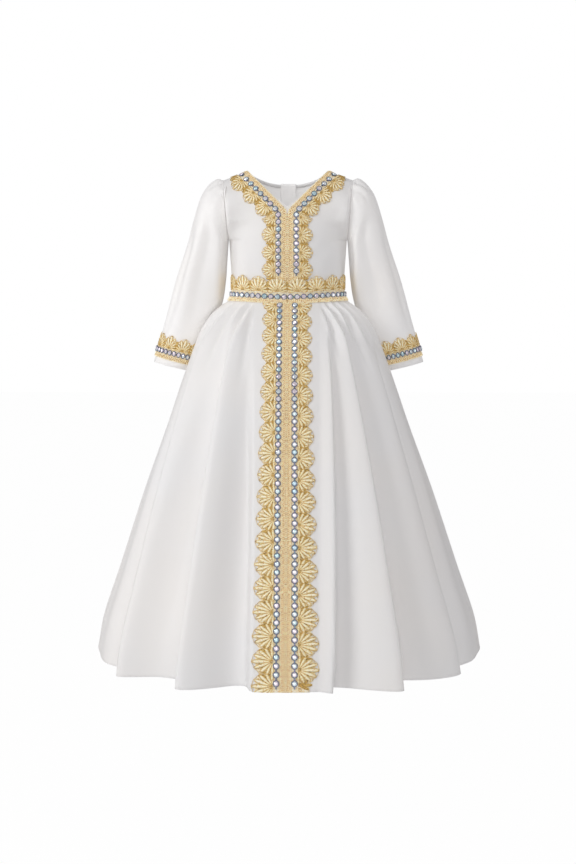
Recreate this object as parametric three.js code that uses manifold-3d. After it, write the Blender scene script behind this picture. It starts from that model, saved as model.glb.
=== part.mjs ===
// Flower girl dress: a long white satin dress with a V neck, long straight sleeves and a full skirt,
// trimmed with gold fan lace and rhinestone chains.  Millimetres, +Z up, the front faces -Y.
// The origin is the middle of the shoulder line, at the height where the shoulder seams meet the neck.
import * as THREE from 'three';
import Module from 'manifold-3d';
import { mergeVertices } from 'three/addons/utils/BufferGeometryUtils.js';

// ---------- driving sizes ----------
const cloth = 1.5; // satin wall
const seam = 0.3; // gap left between neighbouring pieces
const laceThickness = 1.2;
const chainThickness = 2.6;
const waistHeight = -226;
const underarmHeight = -120;
const hemHeight = -860;
const neckHalfWidth = 71;
const neckFrontHeight = -66;
const laceFrontHeight = -73; // where the gold edge meets below the V
const neckBackHeight = -19;
const shoulderTip = { x: 113, z: -15 };
const armholeHalfDepth = 48;
const shoulderSlope = -shoulderTip.z / (shoulderTip.x - neckHalfWidth);

// Torso rings from the waist to the shoulder: half width and the depths in front and behind.
const torsoRings = [
  { z: waistHeight, halfWidth: 99, front: 74, back: 68 },
  { z: -190, halfWidth: 100, front: 76, back: 69 },
  { z: -155, halfWidth: 102, front: 79, back: 72 },
  { z: underarmHeight, halfWidth: 104, front: 80, back: 75 },
  { z: -80, halfWidth: 107.1, front: 78, back: 76 },
  { z: shoulderTip.z, halfWidth: shoulderTip.x, front: 74, back: 74 },
  { z: 30, halfWidth: shoulderTip.x, front: 72, back: 72 },
];

// Skirt rings from the waist to the hem, and how far each ring sits forward of the torso's middle.
const skirtRings = [
  { z: waistHeight, halfWidth: 100, front: 75, back: 69, forward: 0 },
  { z: -236, halfWidth: 107, front: 79, back: 72, forward: 1 },
  { z: -252, halfWidth: 127, front: 88, back: 78, forward: 4 },
  { z: -275, halfWidth: 147, front: 99, back: 84, forward: 9 },
  { z: -300, halfWidth: 161, front: 109, back: 90, forward: 14 },
  { z: -355, halfWidth: 181, front: 128, back: 108, forward: 20 },
  { z: -441, halfWidth: 209, front: 158, back: 150, forward: 14 },
  { z: -590, halfWidth: 257, front: 205, back: 212, forward: 4 },
  { z: -706, halfWidth: 294, front: 241, back: 252, forward: 0 },
  { z: -800, halfWidth: 325, front: 268, back: 280, forward: 0 },
  { z: hemHeight, halfWidth: 338, front: 282, back: 294, forward: 0 },
];

// Skirt folds.  An angle is 0 at the centre front, 90 at the wearer's left side seam, 180 behind.
// Each fold is a crest that rolls over a trough on its outer side; depths are those at the hem.
const skirtFolds = [
  { top: -40, hem: -30.5, start: -240, depth: 46, width: 7.5, lean: 9, side: -1 },
  { top: -72, hem: -54, start: -250, depth: 44, width: 8.0, lean: 8, side: -1 },
  { top: 30.5, hem: 13, start: -238, depth: 42, width: 7.2, lean: 8, side: 1 },
  { top: 42, hem: 32, start: -245, depth: 52, width: 7.6, lean: 9, side: 1 },
  { top: 66, hem: 60, start: -300, depth: 22, width: 9.0, lean: 3, side: 1 },
  { top: 108, hem: 104, start: -250, depth: 30, width: 9.0, lean: 6, side: 1 },
  { top: 136, hem: 134, start: -240, depth: 42, width: 8.0, lean: 8, side: 1 },
  { top: 160, hem: 162, start: -300, depth: 22, width: 7.0, lean: 3, side: -1 },
  { top: -108, hem: -106, start: -250, depth: 32, width: 9.0, lean: 6, side: -1 },
  { top: -134, hem: -130, start: -240, depth: 40, width: 8.5, lean: 8, side: -1 },
  { top: -158, hem: -159, start: -300, depth: 24, width: 7.5, lean: 3, side: 1 },
];

// Long hollows between the folds on the wearer's right of the front, deepest at the hem.
const skirtHollows = [
  { top: -18.5, hem: -14.2, start: -250, depth: 33, width: 6.5 },
  { top: -48, hem: -42.5, start: -290, depth: 28, width: 5.5 },
];

// Sleeve rings from the armhole to the cuff: the outermost and innermost points seen from the front,
// half the depth, and how far behind the torso's middle the ring sits.
const sleeveRings = [
  { outX: 114, outZ: -15, inX: 105, inZ: -120, halfDepth: armholeHalfDepth, back: 0 },
  { outX: 127, outZ: -16, inX: 105.6, inZ: -125, halfDepth: 52, back: 1 },
  { outX: 143, outZ: -27, inX: 106.3, inZ: -132, halfDepth: 55, back: 3 },
  { outX: 155, outZ: -46, inX: 107.2, inZ: -143, halfDepth: 55, back: 6 },
  { outX: 167, outZ: -82, inX: 108.8, inZ: -163, halfDepth: 53, back: 11 },
  { outX: 181, outZ: -130, inX: 111.5, inZ: -192, halfDepth: 49, back: 20 },
  { outX: 202, outZ: -190, inX: 119, inZ: -232, halfDepth: 44, back: 33 },
  { outX: 223, outZ: -262, inX: 140, inZ: -286, halfDepth: 40, back: 47 },
  { outX: 245.5, outZ: -336.5, inX: 168.5, inZ: -355.5, halfDepth: 37, back: 59 },
];

// The galloon: a braid, a rhinestone chain and a row of lace fans, side by side.
const galloon = { edge: 0, chainStart: 7.5, chainEnd: 17.5, fansStart: 18.5, fansEnd: 40 };
const centreInset = 2.7; // how far the bodice galloons stand off the centre line
const skirtGalloon = { edge: 1, chainStart: 8, chainEnd: 18, fansStart: 19, topEnd: 42, hemEnd: 53 };
const waistTrim = { fanTop: -188, chainTop: -216, chainBottom: -228, bottom: -234 };
const cuffTrim = { fanTop: 55, chainTop: 29, chainBottom: 20, bottom: 11 };

// Centre back fastening.
const zipHalfWidth = 11;
const zipThickness = 0.9;
const guardHalfWidth = 14.5;
const zipTop = -24;
const zipBottom = -330;
const guardTop = -16;

// ---------- colours ----------
const satin = { color: 0xf4f2f1, roughness: 0.42, metalness: 0 };
const goldLace = { color: 0xe8cd8c, roughness: 0.45, metalness: 0.35 };
const rhinestone = { color: 0xdfe8f0, roughness: 0.12, metalness: 0.2 };
const whiteTape = { color: 0xf2f0ee, roughness: 0.7, metalness: 0 };
const whitePaint = { color: 0xf5f4f2, roughness: 0.35, metalness: 0 };

const dress = new THREE.Group();
const radians = THREE.MathUtils.degToRad;
const clamp = THREE.MathUtils.clamp;
const mix = THREE.MathUtils.lerp;

function add(name, geometry, look) {
  const mesh = new THREE.Mesh(geometry, new THREE.MeshStandardMaterial(look));
  mesh.name = name;
  dress.add(mesh);
  return mesh;
}

// ---------- smooth tables ----------
// Reads one column of a table at a place, smooth between its rows; `by` names the column walked along.
function readTable(rows, by, column, place) {
  const down = rows[rows.length - 1][by] < rows[0][by] ? -1 : 1;
  const at = clamp(place * down, rows[0][by] * down, rows[rows.length - 1][by] * down);
  let k = 0;
  while (k < rows.length - 2 && rows[k + 1][by] * down < at) k += 1;
  const slope = (i) => {
    const a = rows[Math.max(i - 1, 0)];
    const b = rows[Math.min(i + 1, rows.length - 1)];
    return (b[column] - a[column]) / ((b[by] - a[by]) * down);
  };
  const step = (rows[k + 1][by] - rows[k][by]) * down;
  const t = (at - rows[k][by] * down) / step;
  const t2 = t * t;
  const t3 = t2 * t;
  return (
    (2 * t3 - 3 * t2 + 1) * rows[k][column] +
    (t3 - 2 * t2 + t) * step * slope(k) +
    (3 * t2 - 2 * t3) * rows[k + 1][column] +
    (t3 - t2) * step * slope(k + 1)
  );
}

function smooth(from, to, value) {
  const t = clamp((value - from) / (to - from), 0, 1);
  return t * t * (3 - 2 * t);
}

// ---------- walls ----------
// Outward normal of a surface point(u, v), from small steps along the surface.
function normalOf(point, u, v, flip) {
  const step = 1e-5;
  const alongU = point(u + step, v).sub(point(u - step, v));
  const alongV = point(u, v + step).sub(point(u, v - step));
  return alongU.cross(alongV).normalize().multiplyScalar(flip);
}

// A closed wall from a grid of outer points and a grid of inner points; `round` joins the last
// column to the first, as on a sleeve.  Each cell is split along its shorter diagonal.
function wall(outer, inner, round = false) {
  const rows = outer.length;
  const columns = outer[0].length;
  const positions = [];
  [outer, inner].forEach((grid) => grid.flat().forEach((p) => positions.push(p.x, p.y, p.z)));
  const index = (layer, row, column) => (layer * rows + row) * columns + (column % columns);
  const faces = [];
  const quad = (a, b, c, d) => faces.push(a, b, c, a, c, d);
  const spans = round ? columns : columns - 1;
  for (let r = 0; r < rows - 1; r += 1) {
    for (let c = 0; c < spans; c += 1) {
      const next = (c + 1) % columns;
      const rising = outer[r][c].distanceTo(outer[r + 1][next]);
      const falling = outer[r][next].distanceTo(outer[r + 1][c]);
      const corners = [[r, c], [r, c + 1], [r + 1, c + 1], [r + 1, c]];
      if (falling < rising) corners.push(corners.shift());
      quad(...corners.map(([row, column]) => index(0, row, column)));
      quad(...[0, 3, 2, 1].map((k) => index(1, ...corners[k])));
    }
    if (!round) {
      const last = columns - 1;
      quad(index(0, r, 0), index(0, r + 1, 0), index(1, r + 1, 0), index(1, r, 0));
      quad(index(0, r, last), index(1, r, last), index(1, r + 1, last), index(0, r + 1, last));
    }
  }
  for (let c = 0; c < spans; c += 1) {
    const end = rows - 1;
    quad(index(0, 0, c), index(1, 0, c), index(1, 0, c + 1), index(0, 0, c + 1));
    quad(index(0, end, c), index(0, end, c + 1), index(1, end, c + 1), index(1, end, c));
  }
  const geometry = new THREE.BufferGeometry();
  geometry.setAttribute('position', new THREE.Float32BufferAttribute(positions, 3));
  geometry.setIndex(faces);
  return facingOut(geometry);
}

function facingOut(geometry) {
  const p = geometry.attributes.position;
  const faces = geometry.index.array;
  const [a, b, c] = [new THREE.Vector3(), new THREE.Vector3(), new THREE.Vector3()];
  let volume = 0;
  for (let i = 0; i < faces.length; i += 3) {
    a.fromBufferAttribute(p, faces[i]);
    b.fromBufferAttribute(p, faces[i + 1]);
    c.fromBufferAttribute(p, faces[i + 2]);
    volume += a.dot(b.cross(c));
  }
  if (volume < 0) {
    for (let i = 0; i < faces.length; i += 3) [faces[i], faces[i + 1]] = [faces[i + 1], faces[i]];
  }
  geometry.computeVertexNormals();
  return geometry;
}

// A wall on a surface: the outer face is lifted off it along its normals, the inner face lies
// `thick` further in.  `us` and `vs(u)` are the places of the columns and of the rows in each column.
// Normals are read a hair inside the edges, where the surface may turn over at once.
function wallOn(point, us, vs, lift, thick, flip, round = false) {
  const liftAt = typeof lift === 'number' ? () => lift : lift;
  const rowCount = vs(us[0]).length;
  const outer = [];
  const inner = [];
  for (let r = 0; r < rowCount; r += 1) {
    const places = us.map((u) => ({ u, v: vs(u)[r] }));
    const normals = places.map(({ u, v }) => {
      const rows = vs(u);
      const insideV = mix(v, (rows[0] + rows[rowCount - 1]) / 2, 1e-4);
      const insideU = round ? u : mix(u, (us[0] + us[us.length - 1]) / 2, 1e-3);
      return normalOf(point, insideU, insideV, flip);
    });
    outer.push(places.map(({ u, v }, i) => point(u, v).addScaledVector(normals[i], liftAt(u, v))));
    inner.push(outer[r].map((p, i) => p.clone().addScaledVector(normals[i], -thick)));
  }
  return wall(outer, inner, round);
}

function spread(from, to, spans, place = (t) => t) {
  return Array.from({ length: spans + 1 }, (_, i) => mix(from, to, place(i / spans)));
}

// ---------- bodice ----------
function shoulderLine(x) {
  return shoulderSlope * (neckHalfWidth - Math.abs(x));
}

// Half the depth of the armhole at a height: an upright oval between the underarm and the shoulder.
function armholeDepth(x, z) {
  const top = shoulderLine(x);
  const t = clamp((2 * z - top - underarmHeight) / (top - underarmHeight), -1, 1);
  return armholeHalfDepth * Math.sqrt(1 - t * t);
}

// The torso's surface at a height: across runs 0 at the middle to 1 at the side; facing is -1 in
// front and +1 behind.  Above the underarm it ends at the armhole, and it rounds over the shoulder.
// The waist sits higher than its plain height, less in front, so that it dips to the middle.
const waistRise = { front: 2, sides: 7 };

function raised(x, y, z) {
  const turned = y < 0 ? (x * x) / (x * x + y * y) : 1;
  const near = smooth(underarmHeight + 2, waistHeight + 38, z) * smooth(waistHeight - 120, waistHeight - 12, z);
  return mix(waistRise.front, waistRise.sides, turned) * near;
}

function torso(across, z, facing) {
  const side = Math.sign(across) || 1;
  const u = Math.min(Math.abs(across), 1);
  const share = Math.sin((u * Math.PI) / 2);
  const x = readTable(torsoRings, 'z', 'halfWidth', Math.min(z, shoulderTip.z)) * share;
  const depth = readTable(torsoRings, 'z', facing < 0 ? 'front' : 'back', z);
  const above = smooth(underarmHeight + 45, underarmHeight + 100, z);
  const square = 2 + 0.4 * smooth(waistHeight, underarmHeight, z);
  const crown = (1 - share ** square) ** (1 / (2 - above));
  const nearSeam = 10 * (1 - smooth(underarmHeight, underarmHeight + 34, z));
  const nearArm = share ** (mix(6, 3, smooth(underarmHeight + 30, -35, z)) + nearSeam);
  const rise = clamp((z - underarmHeight) / (shoulderLine(x) - underarmHeight), 0, 1);
  const roundOver = Math.sqrt(Math.max(1 - rise ** 2.6, 0));
  const y = armholeDepth(x, z) * nearArm + depth * roundOver * crown;
  return new THREE.Vector3(side * x, facing * y, z + raised(x, facing * y, z));
}

function neckline(x, facing) {
  const t = Math.abs(x) / neckHalfWidth;
  if (facing < 0) return mix(neckFrontHeight, 0, t ** 1.12);
  return mix(neckBackHeight, 0, t ** 2.4);
}

// Top edge of the bodice above a place across it: the neckline, then the shoulder seam.
function bodiceTop(across, facing) {
  const x = shoulderTip.x * Math.sin((Math.abs(across) * Math.PI) / 2);
  return x < neckHalfWidth ? neckline(x, facing) : shoulderLine(x);
}

const lowerRows = [waistHeight, -198, -170, -143];
const armholeSpans = 8;

function bodiceRows(facing) {
  return (across) => {
    const top = bodiceTop(across, facing);
    const arc = (t) => (1 - Math.cos(Math.PI * t)) / 2;
    return [...lowerRows, ...spread(underarmHeight, top, armholeSpans, arc)];
  };
}

const neckAcross = (2 / Math.PI) * Math.asin(neckHalfWidth / shoulderTip.x);
const halfAcross = [...spread(0, neckAcross, 5), ...spread(neckAcross, 1, 4).slice(1)];
const fullAcross = [...halfAcross.slice(1).reverse().map((u) => -u), ...halfAcross];

// Half a seam's gap, with a hair to spare: each panel is shifted by this away from its seams.
const seamShift = seam / 2 + 0.02;

function bodicePoint(facing) {
  return (across, z) => {
    const p = torso(across, z, facing);
    p.y += facing * seamShift;
    return p;
  };
}

add('bodice_front', wallOn(bodicePoint(-1), fullAcross, bodiceRows(-1), 0, cloth, 1), satin);
for (const [name, side] of [['left', 1], ['right', -1]]) {
  const us = halfAcross.map((u) => side * Math.max(u, 0.002));
  add(`bodice_back_${name}`, wallOn(bodicePoint(1), us, bodiceRows(1), 0, cloth, -1), satin);
}

// ---------- sleeves ----------
// A ring is walked by turn: 0 at its outermost point, 0.25 in front, 0.5 at the underarm.
// Along the sleeve, ring counts the rows of the table from the armhole.
const numberedRings = sleeveRings.map((row, ring) => ({ ...row, ring }));

function sleevePoint(side) {
  return (turn, ring) => {
    const read = (column) => readTable(numberedRings, 'ring', column, ring);
    const swing = Math.cos(turn * 2 * Math.PI);
    const x = mix(read('inX'), read('outX'), (1 + swing) / 2);
    const z = mix(read('inZ'), read('outZ'), (1 + swing) / 2);
    const y = read('back') - read('halfDepth') * Math.sin(turn * 2 * Math.PI);
    return new THREE.Vector3(side * x, y, z);
  };
}

const ringTurns = spread(0, 1, armholeSpans * 2).slice(0, -1);
const lastRing = sleeveRings.length - 1;

// Distance up from the cuff edge, turned into a place between the last two rings.
const [aboveCuff, cuffEdge] = sleeveRings.slice(-2);
const lowerSleeve = Math.hypot(cuffEdge.outX - aboveCuff.outX, cuffEdge.outZ - aboveCuff.outZ);
const cuffPlace = (distance) => lastRing - distance / lowerSleeve;

// The first ring's wall lies in the armhole's own plane, so that it meets the bodice edge to edge.
function sleeveWall(side) {
  const point = sleevePoint(side);
  const rings = [0, 0.5, 1, 2, 3, 4, 5, 6, 7, cuffPlace(cuffTrim.fanTop), lastRing];
  const outer = rings.map((ring) => ringTurns.map((turn) => point(turn, ring)));
  const inner = rings.map((ring, r) => {
    if (ring > 0) {
      return ringTurns.map((turn, i) =>
        outer[r][i].clone().addScaledVector(normalOf(point, turn, ring, side), -cloth));
    }
    const middle = outer[0].reduce((sum, p) => sum.add(p), new THREE.Vector3());
    middle.divideScalar(outer[0].length);
    return outer[0].map((p) => {
      const inward = middle.clone().sub(p).normalize();
      return p.clone().addScaledVector(inward, cloth);
    });
  });
  return wall(outer, inner, true);
}

for (const [name, side] of [['left', 1], ['right', -1]]) add(`sleeve_${name}`, sleeveWall(side), satin);

// ---------- skirt ----------
const flatTopHeight = -238; // folds begin below the braid
const centreCalm = { from: 54, to: 76 }; // folds die away between these distances from the centre line
const zipCalm = 9; // degrees either side of the centre back kept smooth for the zip

function wrapDegrees(angle) {
  return ((((angle + 180) % 360) + 360) % 360) - 180;
}

// The skirt's surface at an angle in degrees and a height: its ring, then the folds pushed out of it
// and leaned over sideways.
function skirtPoint(angle, z) {
  const read = (column) => readTable(skirtRings, 'z', column, z);
  const a = radians(angle);
  const halfWidth = read('halfWidth');
  const isFront = Math.cos(a) > 0;
  const halfDepth = isFront ? read('front') : read('back');
  const out = new THREE.Vector2(Math.sin(a) / halfWidth, -Math.cos(a) / halfDepth).normalize();
  const sideways = new THREE.Vector2(-out.y, out.x);
  const p = new THREE.Vector2(halfWidth * Math.sin(a), -halfDepth * Math.cos(a) - read('forward'));
  const nearBack = 180 - Math.abs(wrapDegrees(angle));
  const fromCentre = isFront ? halfWidth * Math.abs(Math.sin(a)) : halfWidth;
  const calm =
    smooth(centreCalm.from, centreCalm.to, fromCentre) *
    mix(smooth(3, 16, nearBack), smooth(0, zipCalm, nearBack), smooth(zipBottom, -500, z));
  skirtFolds.forEach((fold) => {
    const drop = clamp((fold.start - z) / (fold.start - hemHeight), 0, 1);
    const grow = smooth(flatTopHeight, flatTopHeight - 60, z) * drop ** 0.72;
    const middle = mix(fold.top, fold.hem, drop ** 0.6);
    const crest = wrapDegrees(angle - middle + fold.side * fold.width * 0.45) / fold.width;
    const trough = wrapDegrees(angle - middle - fold.side * fold.width * 0.45) / fold.width;
    const bump = Math.exp(-crest * crest * (crest * fold.side > 0 ? 2.2 : 0.7));
    const dip = Math.exp(-trough * trough * (trough * fold.side > 0 ? 0.7 : 2.2));
    p.addScaledVector(out, calm * grow * fold.depth * 0.62 * (bump - dip));
    p.addScaledVector(sideways, calm * grow * fold.lean * fold.side * (bump - dip));
  });
  skirtHollows.forEach((hollow) => {
    const drop = clamp((hollow.start - z) / (hollow.start - hemHeight), 0, 1);
    const off = wrapDegrees(angle - mix(hollow.top, hollow.hem, drop ** 0.7)) / hollow.width;
    p.addScaledVector(out, -calm * hollow.depth * smooth(0, 0.66, drop) * Math.exp(-off * off));
  });
  return new THREE.Vector3(p.x, p.y, z + raised(p.x, p.y, z));
}

const skirtHeights = [waistHeight - seam, -236, -250, -270, -305, -355, -430, -530, -640, -750, hemHeight];

// Column angles crowd together where a fold turns over.
function skirtAngles(from, to, spans) {
  const fine = spread(from, to, 720);
  const weight = fine.map((angle) => {
    const near = [...skirtFolds, ...skirtHollows].map((f) => Math.exp(-((wrapDegrees(angle - f.hem) / f.width) ** 2)));
    return 1 + 3 * Math.max(...near);
  });
  const total = weight.reduce((sum, w) => sum + w, 0) - weight[0];
  const angles = [from];
  let walked = 0;
  for (let i = 1; i < fine.length; i += 1) {
    walked += weight[i];
    if (walked >= (angles.length / spans) * total - 1e-9 && angles.length < spans) angles.push(fine[i]);
  }
  return [...angles, to];
}

const sideSeam = 90;
const toDegrees = THREE.MathUtils.radToDeg;

// Half the width of the two galloons together, which widen a little towards the hem.
function bandHalfWidth(z) {
  return mix(skirtGalloon.topEnd, skirtGalloon.hemEnd, smooth(waistHeight, hemHeight, z));
}

// The skirt front is walked from -2 at one side seam to 2 at the other; between -1 and 1 it runs
// with the edges of the galloons down its middle.
function skirtFrontPoint(u, z) {
  const edge = toDegrees(Math.asin(bandHalfWidth(z) / readTable(skirtRings, 'z', 'halfWidth', z)));
  const across = Math.abs(u);
  const inBand = (edge * Math.asin(Math.min(across, 1) * Math.sin(radians(edge)))) / radians(edge);
  const angle = across <= 1 ? inBand : mix(edge, sideSeam, across - 1);
  const p = skirtPoint(Math.sign(u) * angle, z);
  p.y -= seamShift;
  return p;
}

function skirtBackPoint(side) {
  return (angle, z) => {
    const p = skirtPoint(angle, z);
    p.x += side * seamShift;
    p.y += seamShift;
    return p;
  };
}

const { edge: bandEdge, chainStart, chainEnd, fansStart, topEnd } = skirtGalloon;
const bandShares = [bandEdge, chainStart, chainEnd, (fansStart + topEnd) / 2, topEnd].map((d) => d / topEnd);
const hemEdge = toDegrees(Math.asin(skirtGalloon.hemEnd / skirtRings[skirtRings.length - 1].halfWidth));
const besideBand = (side) =>
  skirtAngles(hemEdge, sideSeam, 18)
    .map((angle) => 1 + (angle - hemEdge) / (sideSeam - hemEdge))
    .map((u) => side * u);
const bandColumns = bandShares.slice(1, -1);
const frontColumns = [
  ...besideBand(-1).reverse(),
  ...bandColumns.map((u) => -u).reverse(),
  0,
  ...bandColumns,
  ...besideBand(1),
];
add('skirt_front', wallOn(skirtFrontPoint, frontColumns, () => skirtHeights, 0, cloth, 1), satin);
for (const [name, side] of [['left', 1], ['right', -1]]) {
  const angles = skirtAngles(sideSeam, 180, 20).map((angle) => side * angle);
  add(`skirt_back_${name}`, wallOn(skirtBackPoint(side), angles, () => skirtHeights, 0, cloth, 1), satin);
}

// ---------- trims on the bodice ----------
const laceLift = seam + laceThickness;
const chainLift = laceLift + seam + chainThickness;
const bodiceEase = 0.6; // further off the bodice, whose curve is tighter

// A place on the bodice front from its distance out from the V edge or from the centre line, and how
// far it is along the band: 0 at the shoulder, 1 at the mitre below the V, 2 at the waist trim.
const edgeDirection = new THREE.Vector2(neckHalfWidth, -laceFrontHeight).normalize();
const edgeOut = new THREE.Vector2(edgeDirection.y, -edgeDirection.x);

function bandPlace(outFromEdge, along) {
  const vPoint = new THREE.Vector2(0, laceFrontHeight);
  const x = outFromEdge + centreInset;
  const mitre = new THREE.Vector2(x, laceFrontHeight + (outFromEdge - edgeOut.x * x) / edgeOut.y);
  if (along > 1) return mitre.lerp(new THREE.Vector2(x, waistTrim.fanTop + 0.6), along - 1);
  const base = vPoint.addScaledVector(edgeOut, outFromEdge);
  const reach =
    (shoulderLine(0) - base.y - shoulderSlope * base.x) / (edgeDirection.y + shoulderSlope * edgeDirection.x);
  const top = base.addScaledVector(edgeDirection, reach - 1.2);
  return top.lerp(mitre, along);
}

function frontPoint(x, z) {
  const halfWidth = readTable(torsoRings, 'z', 'halfWidth', z);
  const across = (2 / Math.PI) * Math.asin(clamp(x / halfWidth, -1, 1));
  return bodicePoint(-1)(across, z);
}

function bandPoint(side) {
  return (outFromEdge, along) => {
    const place = bandPlace(outFromEdge, along);
    return frontPoint(side * place.x, place.y);
  };
}

const bandRows = [...spread(0, 1, 12, (t) => t ** 1.25), ...spread(1, 2, 6).slice(1)];
for (const [name, side] of [['left', 1], ['right', -1]]) {
  const chainColumns = [galloon.chainStart, galloon.chainEnd];
  const laceColumns = [galloon.edge, ...chainColumns, 29, galloon.fansEnd];
  const onBand = (columns, lift, thick) =>
    wallOn(bandPoint(side), columns, () => bandRows, lift, thick, -side);
  add(`lace_bodice_${name}`, onBand(laceColumns, laceLift + bodiceEase, laceThickness), goldLace);
  add(`chain_bodice_${name}`, onBand(chainColumns, chainLift + bodiceEase, chainThickness), rhinestone);
}

// ---------- trims round the waist ----------
// Around is an angle in degrees, as on the skirt; above the waist seam the trim lies on the bodice.
function waistPoint(angle, z) {
  if (z < waistHeight) return skirtPoint(angle, z);
  const facing = Math.cos(radians(angle)) > 0 ? -1 : 1;
  const turn = wrapDegrees(angle);
  const across = facing < 0 ? turn / 90 : (Math.sign(turn) * (180 - Math.abs(turn))) / 90;
  return torso(across, z, facing);
}

const laceWaistRows = [waistTrim.fanTop, waistHeight + 1, waistTrim.bottom];
const chainWaistRows = [waistTrim.chainTop, waistTrim.chainBottom];
const waistEase = 0.85; // further off the cloth, to ride over the waist seam
for (const [name, from, to] of [['left', 0.25, 178.6], ['right', -178.6, -0.25]]) {
  const angles = spread(from, to, 20);
  const onWaist = (rows, lift, thick) => wallOn(waistPoint, angles, () => rows, lift, thick, 1);
  add(`lace_waist_${name}`, onWaist(laceWaistRows, laceLift + waistEase, laceThickness), goldLace);
  add(`chain_waist_${name}`, onWaist(chainWaistRows, chainLift + waistEase, chainThickness), rhinestone);
}

// ---------- trims down the skirt ----------
// They share the columns and rows of the skirt front that they are sewn to.
const skirtBandHeights = [waistTrim.bottom - 0.6, ...skirtHeights.slice(2, -1), hemHeight + 1];
for (const [name, side] of [['left', 1], ['right', -1]]) {
  const columns = bandShares.map((u) => side * u);
  const onSkirt = (us, lift, thick) =>
    wallOn(skirtFrontPoint, us, () => skirtBandHeights, lift, thick, 1);
  add(`lace_skirt_${name}`, onSkirt(columns, laceLift, laceThickness), goldLace);
  add(`chain_skirt_${name}`, onSkirt(columns.slice(1, 3), chainLift, chainThickness), rhinestone);
}

// ---------- trims round the cuffs ----------
for (const [name, side] of [['left', 1], ['right', -1]]) {
  const onCuff = (from, to, lift, thick) => {
    const rows = [cuffPlace(from), cuffPlace(to)];
    return wallOn(sleevePoint(side), ringTurns, () => rows, lift, thick, side, true);
  };
  const lace = onCuff(cuffTrim.fanTop, cuffTrim.bottom, laceLift, laceThickness);
  const chain = onCuff(cuffTrim.chainTop, cuffTrim.chainBottom, chainLift, chainThickness);
  add(`lace_cuff_${name}`, lace, goldLace);
  add(`chain_cuff_${name}`, chain, rhinestone);
}

// ---------- centre back: zip, guard, slider and pull ----------
// The centre back of the dress at a distance across and a height, on the cloth's outer face.
function backPoint(x, z) {
  if (z < waistHeight) {
    const halfWidth = readTable(skirtRings, 'z', 'halfWidth', z);
    return skirtPoint(180 - THREE.MathUtils.radToDeg(Math.asin(x / halfWidth)), z);
  }
  const halfWidth = readTable(torsoRings, 'z', 'halfWidth', z);
  return bodicePoint(1)((2 / Math.PI) * Math.asin(x / halfWidth), z);
}

function zipRows(top) {
  return [top, -36, -50, -70, -95, -130, -170, -210, -226, -236, -250, -270, -300, zipBottom];
}

const zipLift = -cloth - seam - 0.4;
const guardLift = zipLift - zipThickness - seam;
const zipColumns = [-zipHalfWidth, 0, zipHalfWidth];
const guardColumns = [-guardHalfWidth, 0, guardHalfWidth];
add('zip', wallOn(backPoint, zipColumns, () => zipRows(zipTop), zipLift, zipThickness, -1), whiteTape);
add('zip_guard', wallOn(backPoint, guardColumns, () => zipRows(guardTop), guardLift, cloth, -1), satin);

// The slider: a small plate on the cloth's outer face with a bridge that the pull tab hangs from.
const slider = { height: -36, halfWidth: 3, halfLength: 5, plate: 1.4, bridge: 1.3, post: 1.2, rise: 3.7 };
const pull = { length: 24, halfWidth: 3, eye: 1.9, thickness: 1.1, bar: 1.2 };

function solid(wasm, geometry) {
  const bare = geometry.clone();
  bare.deleteAttribute('normal');
  bare.deleteAttribute('uv');
  const merged = mergeVertices(bare.index ? bare.toNonIndexed() : bare, 1e-4);
  const vertProperties = new Float32Array(merged.attributes.position.array);
  const triVerts = new Uint32Array(merged.index.array);
  return new wasm.Manifold(new wasm.Mesh({ numProp: 3, vertProperties, triVerts }));
}

function geometryOf(manifold) {
  const mesh = manifold.getMesh();
  const geometry = new THREE.BufferGeometry();
  geometry.setAttribute('position', new THREE.BufferAttribute(mesh.vertProperties, 3));
  geometry.setIndex(new THREE.BufferAttribute(mesh.triVerts, 1));
  return geometry;
}

const wasm = await Module();
wasm.setup();

// In the slider's own frame x is across, z runs up the zip and -y is out from the cloth.
function sliderShape() {
  const plate = new THREE.BoxGeometry(slider.halfWidth * 2, slider.plate, slider.halfLength * 2);
  plate.translate(0, -slider.plate / 2, 0);
  const arch = new THREE.Shape();
  const reach = slider.plate + slider.rise;
  arch.moveTo(-4, 0.5 - slider.plate);
  arch.lineTo(4, 0.5 - slider.plate);
  arch.lineTo(4, -reach + 1.2);
  arch.quadraticCurveTo(4, -reach, 2.6, -reach);
  arch.lineTo(-2.6, -reach);
  arch.quadraticCurveTo(-4, -reach, -4, -reach + 1.2);
  const hole = new THREE.Path();
  hole.moveTo(-4 + slider.post, -slider.plate);
  hole.lineTo(-4 + slider.post, -reach + slider.bridge);
  hole.lineTo(4 - slider.post, -reach + slider.bridge);
  hole.lineTo(4 - slider.post, -slider.plate);
  arch.holes.push(hole);
  const width = 2.2;
  const bridge = new THREE.ExtrudeGeometry(arch, { depth: width, bevelEnabled: false, curveSegments: 4 });
  bridge.translate(0, 0, -width / 2);
  bridge.rotateY(Math.PI / 2);
  return geometryOf(solid(wasm, plate).add(solid(wasm, bridge)));
}

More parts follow.
